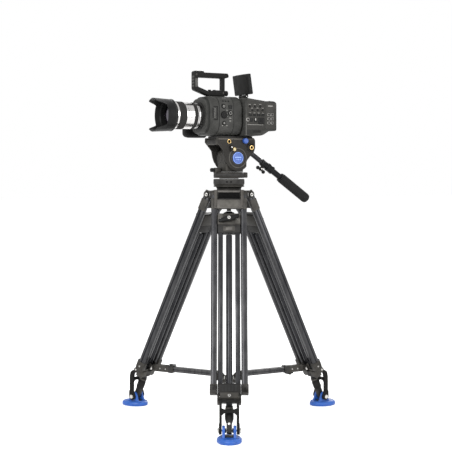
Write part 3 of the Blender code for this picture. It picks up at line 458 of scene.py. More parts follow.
for leg in AZIMUTH:
    L = leg_matrix(leg)
    U = leg_matrix(leg, False)

    # upper stage: twin outer tubes, hinge eyes, yoke and clamps
    p = Piece("upper_stage_" + leg, L)
    for s in (1, -1):
        tube(p, OUTER, s * 38.5, 0, -534, -4, ANOD, flip=s < 0)
        p.rod((s * 30.6, 0, 0), (s * 46.4, 0, 0), 10.9, CAST, 40, 0.9)
        p.rod((s * 46.2, 0, 0), (s * 46.9, 0, 0), 8.6, CAST_DARK, 32, 0.2)
        # yoke cheek in front of each tube, and its foot on the tube
        p.plate(fillet([(s * 30.8, 8.5), (s * 38.6, 8.5), (s * 38.6, -44.5), (s * 30.8, -44.5)], 1.6), 3.0, CAST_LIGHT,
                Matrix.Translation((0, -11.3 * MM, 0)) @ FRONT, bevel=0.7)
        p.block(min(s * 38, s * 46.9), max(s * 38, s * 46.9), -10.8, 10.4, -46, -14, CAST, r=1.6)
        p.block(min(s * 29.4, s * 48.2), max(s * 29.4, s * 48.2), -11.5, 11.5, -537.8, -513.2, CAST, r=2.0, segs=3)
        p.block(min(s * 31, s * 46.6), max(s * 31, s * 46.6), -11.5, -10.9, -535, -516, CAST_DARK, r=0.2, segs=1)
        p.screw(along((s * 38.5, -11.4, -525.5), (0, -1, 0)), 2.6, CAST_DARK, h=0.1)
        p.screw(along((s * 47.9, 0, -525.5), (s, 0, 0)), 2.4, STEEL, h=0.35)
        # spreader ear
        ear = fillet([(8.3, -516.0), (14.0, -518.5)] + arc(18.5, -526, 6.9, 80, -90, 10) + [(8.3, -537.8)], 0.5, 2)
        p.plate(ear, 3.9, CAST, Matrix.Translation((s * 12.3 * MM, 0, 0)) @ Y_UP, bevel=0.5)
    p.block(-38, 38, -12.4, -8.0, -44.5, -19.0, CAST_LIGHT, r=1.4, segs=3)
    p.block(-24, 24, -12.6, -12.0, -41.0, -23.0, CAST, r=0.3, segs=1)
    p.block(-30.6, 30.6, -8.2, -5.6, -44.6, -18.4, CAST, r=0.8)
    p.block(-30.6, 30.6, 8.4, 11.3, -537.8, -533.6, CAST, r=0.5)
    for s in (1, -1):
        p.block(min(s * 30.9, s * 31.8), max(s * 30.9, s * 31.8), -12.6, -12.2, -44.0, -19.5, MATT, r=0.0)
        p.screw(along((s * 34.6, -12.75, -38.5), (0, -1, 0)), 1.5, CAST_DARK, h=0.1)
    p.done("leg_" + leg, "tube", "upper_leg_" + leg)

    # middle stage
    p = Piece("middle_stage_" + leg, L)
    p.block(-29.8, 29.8, -10.9, 10.1, -89.8, -57.7, CAST, r=2.2, segs=3)
    p.block(-29.0, -16.5, -11.1, -10.4, -87, -60, CAST, r=0.4, segs=1)
    p.block(16.5, 29.0, -11.1, -10.4, -87, -60, CAST, r=0.4, segs=1)
    for s in (1, -1):
        p.block(min(s * 28.5, s * 31.7), max(s * 28.5, s * 31.7), -1.9, 1.9, -111.0, -58.2, CAST_DARK, r=0.3, segs=1)
    p.block(-29.2, 29.2, -8.9, 8.5, -111.8, -89.0, CAST_DARK, r=1.8, segs=3)
    p.block(-15.0, 15.0, -9.6, -8.0, -107.5, -93.5, CAST, r=0.8)
    p.block(-8.6, 8.6, -10.0, -9.2, -104.5, -96.5, CAST_LIGHT, r=0.5)
    for s in (1, -1):
        tube(p, MIDDLE, s * 22.0, 0, -544, -108, ANOD, flip=s < 0)
        p.screw(along((s * 22.6, -11.1, -73.5), (0, -1, 0)), 1.8, STEEL, h=0.1)
        p.block(min(s * 23.7, s * 29.5), max(s * 23.7, s * 29.5), -11.0, 8.4, -562.8, -545.2, CAST, r=1.4)
        ear = fillet([(-9.5, -541.8)] + arc(-17.5, -549.0, 6.2, 80, 280, 12) + [(-9.5, -557.0)], 0.5, 2)
        p.plate(ear, 4.8, CAST, Matrix.Translation((s * 26.7 * MM, 0, 0)) @ Y_UP, bevel=0.5)
    p.lathe([(8.5, -558.8), (12.5, -558.8), (14.0, -557.0), (14.0, -542.0), (8.5, -542.0)], CAST_DARK, steps=40)
    for y0, y1 in ((-11.1, -8.6), (8.6, 10.4)):
        p.block(-29.8, 29.8, y0, y1, -558.8, -541.2, CAST, r=0.7)
    for s in (1, -1):
        p.block(min(s * 8.7, s * 29.8), max(s * 8.7, s * 29.8), -9.0, 9.0, -558.6, -541.4, CAST, r=0.7)
    p.done("mid_" + leg, "tube", "mid_leg_" + leg)

    # lower stage: round tube, collar, tip block and foot bolt
    p = Piece("lower_stage_" + leg, L)
    p.rod((0, 0, -603), (0, 0, -116.5), 7.95, ANOD, 40, 0.5)
    p.lathe([(0, -566.2), (8.8, -566.2), (9.3, -568), (9.5, -579), (10.9, -583.5), (10.9, -598), (10.0, -601.5), (8.1, -607.8), (0, -607.8)],
            CAST_DARK, steps=40)
    p.lathe([(9.4, -571.5), (10.1, -572.1), (10.1, -575.4), (9.4, -576.0)], CAST, steps=40)
    p.block(-6.7, 6.7, -7.4, 9.4, -634.3, -600.5, CAST_DARK, r=2.4, segs=3)
    p.rod((-27.2, 0, -627), (27.2, 0, -627), 2.65, STEEL, 24)
    for s in (1, -1):
        p.lathe([(0, 0), (6.0, 0), (6.0, 2.3), (5.2, 3.0), (0, 3.0)], STEEL, along((s * 25.9, 0, -627), (s, 0, 0)), 6)
    p.lathe([(0, 0), (2.5, 0), (2.3, 3.0), (0.4, 8.6), (0, 8.8)], STEEL, along((0, 7.0, -628), (0, 1.5, -9)), 20)
    p.rod((0, -7.2, -612), (0, -8.0, -612), 3.0, STEEL, 20, 0.2)
    p.done("low_" + leg, "tube", "lower_leg_" + leg)

    # twist lever of the upper lock
    p = Piece("twist_lever_" + leg, L)
    outline = arc(0, 0, 8.4, 60, 125, 8) + [(-13.0, 2.8), (-20.0, -0.7)] + arc(-23.5, -6.6, 4.4, 110, 275, 10) + [(-14, -9.2)] + \
        arc(0, 0, 8.4, 240, 305, 8) + [(13.0, -2.8), (20.0, 0.7)] + arc(23.5, 6.6, 4.4, -70, 95, 10) + [(14, 9.2)]
    p.plate(fillet(outline, 2.2, 3), 6.6, BLACK, Matrix.Translation((0, -16.7 * MM, -74 * MM)) @ FRONT, bevel=1.8)
    p.rod((0, -5.2, -74), (0, -14.2, -74), 3.9, CAST_DARK, 24)
    p.lathe([(0, 0), (6.2, 0), (6.0, 1.6), (5.0, 2.5), (3.4, 2.7), (3.1, 1.9), (0, 1.9)], CAST_DARK, along((0, -19.6, -74), (0, -1, 0)), 32)
    p.lathe([(2.2, 0), (3.9, 0), (3.9, 0.9), (2.2, 0.9)], STEEL, along((0, -21.7, -74), (0, -1, 0)), 32)
    p.done("twist_" + leg, "black_plastic", "upper_lock_lever_" + leg)

    # flip lever of the lower lock
    p = Piece("flip_lever_" + leg, L)
    flip = fillet([(-13.1, -514.6), (-20.0, -514.6), (-22.5, -518.0), (-22.5, -536.0), (-21.5, -540.2), (-13.1, -540.2)], 1.5, 3)
    p.plate(flip, 57.6, CAST_DARK, Y_UP, bevel=1.2)
    p.block(-23.4, 23.4, -22.2, -12.8, -549.3, -537, CAST, r=1.6, segs=3)
    p.rod((-23.5, -17.5, -549), (23.5, -17.5, -549), 5.4, CAST, 32)
    p.rod((-29.3, -17.5, -549), (29.3, -17.5, -549), 2.5, STEEL, 24)
    for x in (-16, -8, 0, 8, 16):
        p.block(x - 2.4, x + 2.4, -22.75, -22.0, -535, -518, BLACK, r=0.3, segs=1)
    p.lathe([(0, 0), (4.6, 0), (4.6, 0.9), (3.8, 1.4), (0, 1.4)], CAST_DARK, along((0, -21.8, -545), (0, -1, 0)), 32)
    p.lathe([(2.1, 0), (3.3, 0), (3.3, 0.5), (2.1, 0.5)], STEEL, along((0, -22.9, -545), (0, -1, 0)), 32)
    p.done("flip_" + leg, "black_plastic", "lower_lock_lever_" + leg)

    # foot: oval rubber base with two curved ears
    bolt_r, bolt_z = leg_point(627, 0)
    p = Piece("foot_" + leg, U)
    oval = Matrix.Translation((0, -307 * MM, 0)) @ Matrix.Diagonal((0.988, 0.988 * 78 / 62, 1, 1))
    p.lathe([(0, 11.6), (22.0, 11.8), (24.0, 11.9), (27.4, 11.4), (29.6, 9.8), (30.8, 7.2), (31.0, 4.4), (30.8, 2.0), (30.0, 0.6), (29.2, 0.0),
             (27.0, 0.0), (26.0, 1.0), (24.0, 1.0), (23.0, 0.0), (18.0, 0.0), (17.0, 1.0), (15.0, 1.0), (14.0, 0.0), (0, 0.0)], BLUE, oval, 72)
    p.lathe([(25.0, 11.7), (25.6, 12.5), (26.8, 12.2), (27.2, 11.3)], BLUE, oval, 72)
    for s in (1, -1):
        ear = [(-bolt_r + 19.5, 9.0), (-bolt_r + 13.6, 18.0)] + arc(-bolt_r - 0.5, bolt_z + 1.5, 10.9, 5, 170, 18) + \
            [(-bolt_r - 13.4, 19.0), (-bolt_r - 20.5, 9.0)]
        p.plate(fillet(ear, 2.0, 3), 7.0, BLUE, Matrix.Translation((s * 13.9 * MM, 0, 0)) @ Y_UP, bevel=1.3)
        p.block(min(s * 11.0, s * 17.0), max(s * 11.0, s * 17.0), -bolt_r - 25, -bolt_r + 24, 9.5, 13.2, BLUE, r=1.5)
        p.rod((s * 7.2, -bolt_r, bolt_z), (s * 10.8, -bolt_r, bolt_z), 5.6, CAST_DARK, 32, 0.5)
    p.block(-10.2, 10.2, -bolt_r - 9, -bolt_r + 11, 11.2, 14.4, CAST_DARK, r=0.9)
    p.done("pad_" + leg, "blue_rubber", "foot_pad_" + leg)

    # rubber tie strap: bolt pads, uprights, cross web, top loop
    p = Piece("strap_" + leg, U)
    for s in (1, -1):
        pad = fillet(arc(-bolt_r, bolt_z, 9.8, 0, -180, 18) + [(-bolt_r - 9.2, 44), (-bolt_r + 4.4, 44)], 1.5, 3)
        p.plate(pad, 7.0, RUBBER, Matrix.Translation((s * 21.95 * MM, 0, 0)) @ Y_UP, bevel=1.1)
        up = fillet([(-bolt_r + 4.0, 38), (-bolt_r + 4.5, 70), (-bolt_r + 7.0, 92), (-bolt_r + 13.6, 98.5), (-bolt_r + 4.0, 102.6),
                     (-bolt_r - 5.0, 97.8), (-bolt_r - 8.0, 84), (-bolt_r - 8.4, 38)], 4.0, 4)
        p.plate(up, 6.2, RUBBER, Matrix.Translation((s * 21.15 * MM, 0, 0)) @ Y_UP, bevel=1.2)
        p.lathe([(4.5, 0), (7.4, 0), (7.4, 0.5), (4.5, 0.5)], RUBBER, along((s * 25.2, -bolt_r, bolt_z), (s, 0, 0)), 32)
    p.block(-19.5, 19.5, -bolt_r - 2.8, -bolt_r + 9.3, 95.5, 101.3, RUBBER, r=2.0, segs=3)
    web = fillet([(-20, 63.5), (-11, 71.5), (11, 71.5), (20, 63.5), (20, 82), (11, 78.5), (-11, 78.5), (-20, 82)], 3.5, 5)
    p.plate(web, 10.6, RUBBER, Matrix.Translation((0, (-bolt_r - 2.3) * MM, 0)) @ FRONT, bevel=1.2)
    p.done("low_" + leg, "black_rubber", "foot_strap_" + leg)

    # spreader arm: sleeve with its latch, and the sliding rod
    y = -PIV_R
    p = Piece("spreader_arm_" + leg, U)
    p.block(-9.7, 9.7, y + 9.6, y + 54, PIV_Z + 7.9, PIV_Z + 8.9, CAST, r=0.3, segs=1)
    p.block(-9.7, 9.7, y + 9.6, y + 54, PIV_Z - 8.9, PIV_Z - 7.9, CAST, r=0.3, segs=1)
    for s in (1, -1):
        p.block(min(s * 7.4, s * 9.8), max(s * 7.4, s * 9.8), y + 6, y + 68, PIV_Z - 8.9, PIV_Z + 8.9, CAST, r=0.8)
        p.block(min(s * 7.6, s * 11.1), max(s * 7.6, s * 11.1), y + 54.2, y + 66.8, PIV_Z - 9.9, PIV_Z + 9.9, CAST_DARK, r=1.0)
        p.rod((s * 13.8, y, PIV_Z), (s * 17.1, y, PIV_Z), 4.5, STEEL, 24, 0.8)
        p.screw(along((s * 9.5, y + 26, PIV_Z), (s, 0, 0)), 2.0, STEEL, h=0.4)
        p.screw(along((s * 9.5, y + 44, PIV_Z), (s, 0, 0)), 2.0, STEEL, h=0.4)
    p.block(-11, 11, y + 54.2, y + 66.8, PIV_Z + 8.0, PIV_Z + 9.9, CAST_DARK, r=0.6)
    p.block(-11, 11, y + 54.2, y + 66.8, PIV_Z - 9.9, PIV_Z - 8.0, CAST_DARK, r=0.6)
    p.rod((-9.7, y, PIV_Z), (9.7, y, PIV_Z), 8.4, CAST, 40, 0.6)
    p.rod((-17.0, y, PIV_Z), (17.0, y, PIV_Z), 2.7, STEEL, 20)
    # latch: a small cam block on top of the sleeve, or on its lower side on the right leg
    if leg == "right":
        p.block(-6.0, 6.0, y + 38, y + 60, PIV_Z - 13.6, PIV_Z - 8.4, BLACK, r=1.8, segs=3)
        p.rod((-6.4, y + 49, PIV_Z - 12.0), (6.4, y + 49, PIV_Z - 12.0), 4.2, CAST, 28)
    else:
        for s in (1, -1):
            p.block(min(s * 9.2, s * 11.2), max(s * 9.2, s * 11.2), y + 42, y + 68, PIV_Z + 10.2, PIV_Z + 12.3, BLACK, r=0.6, segs=2)
            p.block(min(s * 8.9, s * 10.8), max(s * 8.9, s * 10.8), y + 47, y + 57, PIV_Z + 6.0, PIV_Z + 10.8, CAST, r=0.5)
    p.done("arm_" + leg, "casting", "spreader_sleeve_" + leg)

    p = Piece("spreader_bar_" + leg, U)
    y0, y1 = -PIV_R + 55.6, -36.0 - 7.5
    channel = fillet([(-6.95, -7.4), (6.95, -7.4), (6.95, -1.6), (6.0, -1.0), (6.0, 1.0), (6.95, 1.6), (6.95, 7.4), (-6.95, 7.4), (-6.95, 1.6),
                      (-6.0, 1.0), (-6.0, -1.0), (-6.95, -1.6)], 0.9, 3)
    p.loft([[(x, yy, PIV_Z + z) for x, z in channel] for yy in (y0, y1)], ANOD)
    p.rod((-6.9, y1, PIV_Z), (6.9, y1, PIV_Z), 7.4, CAST, 36, 0.5)
    p.done("rod_" + leg, "tube", "spreader_rod_" + leg)

# ================================================================ crown, hinge bolts, spreader hub
BOWL_Z = 609.0
W = SHIFT


def sphere_line(r, angles):
    return [(r * math.cos(rad(a)), BOWL_Z - r * math.sin(rad(a))) for a in angles]


p = Piece("crown", W)
p.lathe([(41.4, 609.0), (42.0, 608.3), (42.0, 597), (40.3, 590.5), (36.3, 583.6), (31.3, 578.9), (28.2, 576.7), (27.4, 576.4), (26.0, 577.0),
         (25.6, 578.6)] + sphere_line(38.0, (51, 45, 39, 33, 27, 21, 15, 9, 4, 0.8)) + [(38.6, 609.0)], CAST, steps=96)
p.lathe([(38.8, 609.0), (41.2, 609.0), (41.2, 609.25), (38.8, 609.25)], CAST_LIGHT, steps=96)
for leg, a in AZIMUTH.items():
    turn = Matrix.Rotation(rad(a - 270.0), 4, "Z")
    q = Piece("x", I4)
    inner = [(40 * math.sin(rad(t)), -40 * math.cos(rad(t))) for t in (48.3, 36, 24, 12, 0, -12, -24, -36, -48.3)]
    lug = [(-29.8, -48.4), (29.8, -48.4)] + inner
    p.plate(lug, 23.4, CAST, turn @ Matrix.Translation((0, 0, 596.35 * MM)), bevel=0.8)
    p.block(-29.8, 29.8, -50.9, -48.0, 603.4, 608.1, CAST_LIGHT, r=0.8, at=turn)
    p.block(-29.8, 29.8, -50.4, -48.0, 584.6, 587.0, CAST_DARK, r=0.6, at=turn)
    for s in (1, -1):
        p.block(min(s * 28.3, s * 29.8), max(s * 28.3, s * 29.8), -50.2, -48.0, 585.0, 607.8, CAST_DARK, r=0.4, at=turn)
    # the near-black sheet across the lug front is painted shade for its dark recess
    p.block(-28.4, 28.4, -48.7, -48.2, 586.8, 603.6, MATT, r=0.0, at=turn)
    for x in (-13.5, 13.5):
        p.block(x - 0.8, x + 0.8, -49.2, -48.4, 588, 602.6, MATT, r=0.3, segs=1, at=turn)
p.done("crown", "casting", "crown_casting")

for leg, a in AZIMUTH.items():
    p = Piece("hinge_bolt_" + leg, W @ Matrix.Rotation(rad(a - 270.0), 4, "Z"))
    p.rod((-49.0, -HINGE_R, HINGE_Z), (49.0, -HINGE_R, HINGE_Z), 3.95, CAST_DARK, 28)
    for s in (1, -1):
        at = along((s * 47.1, -HINGE_R, HINGE_Z), (s, 0, 0))
        p.lathe([(0, 0), (6.5, 0), (6.5, 3.0), (5.9, 3.7), (4.5, 3.8), (0, 3.7)], CAST_DARK, at, 40)
        p.lathe([(4.6, 3.5), (4.6, 4.0), (4.0, 4.35), (2.5, 4.35), (1.9, 4.0), (1.9, 3.5)], STEEL, at, 40)
        p.lathe([(0, 3.6), (1.9, 3.6), (1.9, 3.8), (0, 3.8)], MATT, at, 6)
    p.done("crown", "steel", "leg_hinge_pin_" + leg)

hub_top = PIV_Z - 8.1
p = Piece("hub", W)
p.lathe([(0, hub_top), (14, hub_top), (15, hub_top - 0.8), (22, hub_top - 0.8), (23.5, hub_top), (25.5, hub_top), (27.6, hub_top - 1.2),
         (28, hub_top - 2.4), (28, hub_top - 8.4), (26.6, hub_top - 9.9), (20.4, hub_top - 12.8), (19.0, hub_top - 13), (0, hub_top - 13)],
        CAST, steps=72)
p.lathe([(0, hub_top + 0.05), (5.4, hub_top + 0.05), (5.4, hub_top + 1.0), (4.6, hub_top + 1.7), (0, hub_top + 1.7)], STEEL, steps=32)
for leg, a in AZIMUTH.items():
    turn = Matrix.Rotation(rad(a - 270.0), 4, "Z")
    for s in (1, -1):
        ear = [(-17.5, hub_top - 10.3), (-17.5, hub_top + 2.8), (-24, hub_top + 9.8)] + arc(-41.0, PIV_Z, 6.9, 80, 190, 12) + \
            arc(-41, PIV_Z - 9, 5.4, 200, 270, 6)
        p.plate(fillet(ear, 1.2, 2), 3.5, CAST, turn @ Matrix.Translation((s * 9.55 * MM, 0, 0)) @ Y_UP, bevel=0.6)
        p.lathe([(0, 0), (4.2, 0), (4.2, 1.1), (3.4, 1.8), (0, 1.8)], STEEL,
                turn @ along((s * 11.2, -41.0, PIV_Z), (s, 0, 0)), 6)
p.done("hub", "casting", "spreader_hub")

# ================================================================ levelling half ball, dish and tie-down knob
p = Piece("dish", W)
p.lathe(sphere_line(45.3, (74.2, 70, 66, 62, 58, 54.3)) + sphere_line(48.9, (55.2, 59, 63, 67, 71, 75.1)), CAST, steps=72)
p.done("dish", "casting", "ball_clamp_dish")

p = Piece("half_ball_visual", W)
ball = sphere_line(37.4, (6, 12, 18, 24, 30, 36, 42, 48, 50))
p.lathe([(0, 638.9), (39.4, 638.9), (40.9, 638.3), (41.3, 637.4), (41.3, 624.6), (40.6, 623.3), (39.7, 622.6), (39.7, 621.6),
         (41.2, 620.8), (41.3, 618.9), (40.4, 618.2), (34.9, 617.2), (32.7, 614.0), (32.6, 611.0), (34.3, 607.7)] + ball +
        [(22.0, 578.7), (6.0, 577.6), (5.9, 552.8), (0, 552.8)], CAST, steps=112)
p.lathe([(41.1, 636.6), (41.7, 636.0), (41.7, 626.2), (41.1, 625.6)], CAST_DARK, steps=144, flutes=(72, 41.5, 0.45))
for k in range(3):
    for d in (-7.5, 7.5):
        ang = rad(242 + 120 * k + d)
        out = Vector((math.cos(ang), math.sin(ang), 0))
        p.rod(out * 40.8 + Vector((0, 0, 631)), out * 42.0 + Vector((0, 0, 631)), 2.3, MATT, 20, 0.2)
p.done("ball", "casting", "half_ball")

p = Piece("tie_down_visual", W)
p.lathe([(0, 551.9), (7.2, 551.9), (10.6, 549.8), (11.5, 547.5), (11.5, 539), (10.9, 536), (9.6, 534.2), (0, 534.2)], BLACK, steps=48)
for t in (0, 90):
    p.block(-15.3, 15.3, -3.3, 3.3, 535.7, 549.3, BLACK, r=1.6, segs=3, at=Matrix.Rotation(rad(t), 4, "Z"))
p.done("tie_down", "black_plastic", "tie_down_knob")

# ================================================================ fluid head
TS, TZ = -7.4, 694.3
p = Piece("pan_base_visual", W)
p.lathe([(0, 657.4), (37.4, 657.4), (38.7, 656.9), (40.3, 655.4), (40.7, 654.0), (41.3, 644.6), (41.2, 643.0), (40.4, 641.6), (39.6, 641.3),
         (26.0, 641.3), (25.8, 639.5), (0, 639.5)], CAST, steps=112)
p.lathe([(40.7, 652.4), (41.2, 652.0), (41.4, 647.4), (41.0, 646.9)], CAST_DARK, steps=144, flutes=(72, 41.1, 0.35))
p.hblock(-45.8, -22, -21.8, 21.8, 642.0, 656.6, CAST, r=2.2, segs=3)
p.hblock(-46.2, -45.2, -14, 14, 645.5, 653.5, CAST_DARK, r=0.4, segs=1)
p.hblock(24, 41.8, -11.8, 3.8, 652.2, 668.8, CAST, r=2.6, segs=3)
p.done("pan", "casting", "pan_base")

p = Piece("drum_housing", W)
at = along(P(TS, -29.6, TZ), (0, -1, 0))
p.lathe([(0, 0), (30.6, 0), (32.0, 0.6), (32.4, 1.6), (32.4, 57.6), (32.0, 58.6), (30.6, 59.2), (0, 59.2)], CAST_DARK, at, 96)
for d in (13.5, 21.5, 29.6, 37.7, 45.7):
    p.lathe([(32.2, d - 1.4), (32.9, d - 0.9), (32.9, d + 0.9), (32.2, d + 1.4)], CAST, at, 96)
p.hblock(-30.8, 21.8, -25.8, 25.8, 658.0, 690, CAST, r=5.0, segs=4, axes="z")
p.done("pan", "housing", "tilt_housing")

p = Piece("pan_lock_visual", W)
at = along(P(42.6, -4, 662.5), (-1, 0, 0))
p.lathe([(0, 0), (4.9, 0), (5.4, 0.6), (5.4, 9.2), (4.7, 10.2), (2.8, 10.4), (2.5, 9.8), (0, 9.8)], BLACK, at, 64, flutes=(16, 5.3, 0.5))
p.rod(P(37, -4, 662.5), P(43.5, -4, 662.5), 2.7, STEEL, 20, 0.3)
p.done("pan_lock", "black_plastic", "pan_lock_knob")

# cradle
cheek = [(54, 748.0), (55, 736), (41, 720), (35, 713), (32.5, 697), (27.5, 683.5)] + arc(TS, TZ, 34.9, -25, -140, 24) + \
    [(-34.2, 686), (-43, 696.5), (-57, 711), (-60.5, 721), (-60.5, 741), (-57, 748.0)]
p = Piece("cradle_visual", W)
for l in (33.55, -33.55):
    p.plate(fillet(cheek, 2.6, 3), 4.8, CAST, side_at(l), bevel=1.0)
p.hblock(-57.8, 52.8, -31.6, 31.6, 729.4, 743.9, CAST, r=1.6, segs=2)
for s in (1, -1):
    p.hblock(-56.8, 52.3, s * 26.5, s * 32.8, 741.8, 747.6, CAST, r=0.8)
p.hblock(51.5, 53.3, -24, 24, 732.0, 741.5, CAST_DARK, r=0.6)
# raised shield and the ring groove round the disc, on the left cheek
for sgn in (1, -1):
    base_l = sgn * 36.0
    out = (0, -sgn, 0)
    p.lathe([(24.4, -0.2), (24.4, 0.45), (26.6, 0.45), (27.0, 0.1), (27.0, -0.2)], CAST, along(P(TS, base_l, TZ), out), 80)
    p.lathe([(17.6, -0.2), (17.6, 0.3), (18.8, 0.3), (18.8, -0.2)], CAST_DARK, along(P(TS, base_l, TZ), out), 80)
for s0, l0, z0, r0 in ((-46.8, 34, 722.3, 10.6), (-50, -34, 727, 10.6)):
    d = 1 if l0 > 0 else -1
    at = along(P(s0, l0, z0), (0, -d, 0))
    p.lathe([(0, 0), (r0, 0), (r0, 6.0), (r0 - 0.7, 6.8), (0, 6.8)], CAST_DARK, at, 56)
    p.lathe([(0, 6.78), (9.6, 6.8), (9.6, 6.9), (0, 6.9)], MATT, at, 56)
    if d > 0:
        p.lathe([(3.6, 6.5), (6.2, 6.5), (6.2, 7.5), (5.6, 7.9), (4.1, 7.9), (3.6, 7.5)], BRASS, at, 48)
        p.lathe([(0, 6.5), (3.4, 6.5), (3.4, 6.95), (0, 6.95)], MATT, at, 32)
at = along(P(18.5, 35.8, 737.8), (0, -1, 0))
p.lathe([(4.0, 0), (5.7, 0), (5.7, 0.9), (5.2, 1.2), (4.4, 1.2), (4.0, 0.9)], BRASS, at, 48)
p.lathe([(0, 0), (4.1, 0), (4.1, 0.32), (0, 0.32)], MATT, at, 32)
at = along(P(2.3, 35.8, 717.4), (0, -1, 0))
p.lathe([(3.7, 0), (4.8, 0), (4.8, 0.8), (4.3, 1.1), (3.7, 0.9)], BRASS, at, 40)
p.lathe([(0, 0), (3.8, 0), (3.8, 0.4), (2.4, 0.9), (0, 1.05)], CREAM, at, 40)
for s0, z0 in ((44, 740.5), (6, 742.0), (-50, 742.0), (20, 700.0)):
    for l in (35.9, -35.9):
        p.screw(along(P(s0, l, z0), (0, -1 if l > 0 else 1, 0)), 1.9, CAST_DARK, h=0.5)
p.plate(fillet([(50, 746.2), (50.5, 742.2), (-57, 742.2), (-57, 746.2)], 0.8, 2), 0.5, CAST_LIGHT, side_at(36.05), bevel=0.15)
p.done("tilt", "casting", "cradle")

p = Piece("drag_disc", W)
at = along(P(TS, 36.5, TZ), (0, -1, 0))
p.lathe([(0, 0), (15.5, 0), (15.9, 0.4), (15.9, 1.4), (15.3, 1.9), (13.6, 1.9), (13.3, 1.65), (0, 1.65)], BLUE_GLOSS, at, 80)
p.lathe([(14.1, 1.85), (15.0, 1.85), (15.0, 1.98), (14.1, 1.98)], PALE_BLUE, at, 80)
p.hblock(TS - 9.6, TS + 9.6, 38.1, 38.35, TZ + 0.4, TZ + 2.9, PALE_BLUE, r=0.0)
for i, w in enumerate((2.2, 3.4, 2.6)):
    p.hblock(TS - 6.5 + i * 5.2 - w / 2, TS - 6.5 + i * 5.2 + w / 2, 38.1, 38.3, TZ - 5.4, TZ - 3.6, PALE_BLUE, r=0.0)
p.done("tilt", "blue_paint", "tilt_disc")

p = Piece("plate_lock_visual", W)
at = along(P(-28, 36.6, 739.8), (0, -1, 0))
p.lathe([(0, 0), (6.4, 0), (7.3, 0.9), (7.4, 7.4), (6.6, 8.9), (4.2, 9.3), (3.8, 8.9), (0, 8.9)], BLUE_GLOSS, at, 120, flutes=(20, 7.2, 0.55))
p.rod(P(-28, 32, 739.8), P(-28, 37.5, 739.8), 2.9, STEEL, 20, 0.2)
p.done("plate_lock", "blue_plastic", "plate_lock_knob")

p = Piece("tilt_lock_visual", W)
p.rod(P(13.7, 36.6, 722.8), P(13.7, 42.8, 722.8), 4.5, BLACK, 36, 0.8)
p.rod(P(13.7, 32, 722.8), P(13.7, 38, 722.8), 2.3, STEEL, 20, 0.2)
p.hblock(11.3, 16.1, 39.4, 42.5, 711.7, 724, BLACK, r=1.4, segs=3)
p.lathe([(1.0, 0), (2.0, 0), (2.0, 0.2), (1.0, 0.2)], STEEL, along(P(13.7, 42.75, 722.8), (0, -1, 0)), 24)
p.done("tilt_lock", "black_plastic", "tilt_lock_lever")

p = Piece("plate_visual", W)
p.hblock(-57.8, 49.8, -25.8, 25.8, 744.6, 752.6, CAST_DARK, r=1.1, segs=2)
p.hblock(-50, 42, -17, 17, 752.3, 752.75, RUBBER, r=0.0)
for s in (-40, 0, 30):
    p.screw(along(P(s, 0, 744.7), (0, 0, -1)), 3.4, STEEL, h=0.2)
p.done("plate", "casting", "sliding_plate")

# ---------------------------------------------------------------- pan bar
CB, SB = math.cos(rad(35.3)), math.sin(rad(35.3))


def bp(t, q=0.0, w=0.0):
    return Vector((100.4 + t * CB - q * SB, 50.0 + w, 706.1 - t * SB - q * CB))


BAR = Matrix.Translation(bp(0) * MM) @ Matrix(((-SB, 0, CB, 0), (0, 1, 0, 0), (-CB, 0, -SB, 0), (0, 0, 0, 1)))
p = Piece("pan_bar", W)
p.rod(bp(-60), bp(107.8), 6.95, ANOD, 48, 0.8)
at = along((50, 41.6, 727), (0, 1, 0))
p.lathe([(0, 0), (12.0, 0), (12.9, 0.8), (12.9, 6.0), (12.2, 6.9), (12.2, 8.4), (12.9, 9.2), (12.9, 14.8), (12.0, 15.8), (0, 15.8)], CAST, at, 96,
        flutes=(32, 12.85, 0.35))
p.lathe([(0, 15.7), (5.6, 15.7), (5.6, 17.4), (4.8, 18.2), (3.0, 18.2), (2.8, 17.0), (0, 17.0)], STEEL, at, 32)
p.rod(bp(-61.5), bp(-46), 8.6, CAST, 40, 1.2)
p.done("bar", "tube", "pan_bar_rod")

p = Piece("pan_bar_sleeve", W)
p.lathe([(8.4, 200), (8.4, 78), (9.4, 77.4), (11.0, 76.8), (11.3, 75.6), (11.3, 71.5), (10.9, 70.9), (10.9, 62.4), (11.3, 61.8), (11.3, 57.6),
         (10.9, 56.6), (9.8, 56.2), (9.7, 50.5), (9.3, 50.0), (9.3, 39.6), (9.7, 39.0), (9.7, 35.6), (9.2, 34.4), (7.4, 34.2), (7.4, 200)], ANOD_DARK, BAR, 96,
        flutes=(32, 11.25, 0.4))
p.block(38.5, 51.5, -4.2, 4.2, 7.6, 10.0, CAST_DARK, r=0.8, at=Matrix.Translation(bp(0) * MM) @
        Matrix(((CB, 0, -SB, 0), (0, 1, 0, 0), (-SB, 0, -CB, 0), (0, 0, 0, 1))))
p.done("bar_ext", "tube", "pan_bar_tube")

p = Piece("pan_bar_handle", W)
grip = [(0, 216.8), (7.4, 216.8), (9.6, 216.1), (11.8, 214.2), (13.0, 211.4), (13.6, 207.5)]
grip += [(13.7 - 0.25 * (k % 2), 204.0 - 2.0 * k) for k in range(45)]
grip += [(13.4, 113.2), (12.6, 110.8), (11.0, 109.8), (8.7, 109.7), (8.7, 202), (0, 202)]
p.lathe(grip, FOAM, BAR, 80)
p.lathe([(8.8, 109.6), (12.7, 109.6), (12.9, 108.8), (12.4, 107.6), (9.6, 106.9), (8.6, 106.9)], BLACK, BAR, 64)
p.lathe([(0, 216.7), (5.2, 216.7), (4.9, 217.3), (0, 217.3)], BLACK, BAR, 48)
p.done("bar_ext", "black_rubber", "pan_bar_grip")

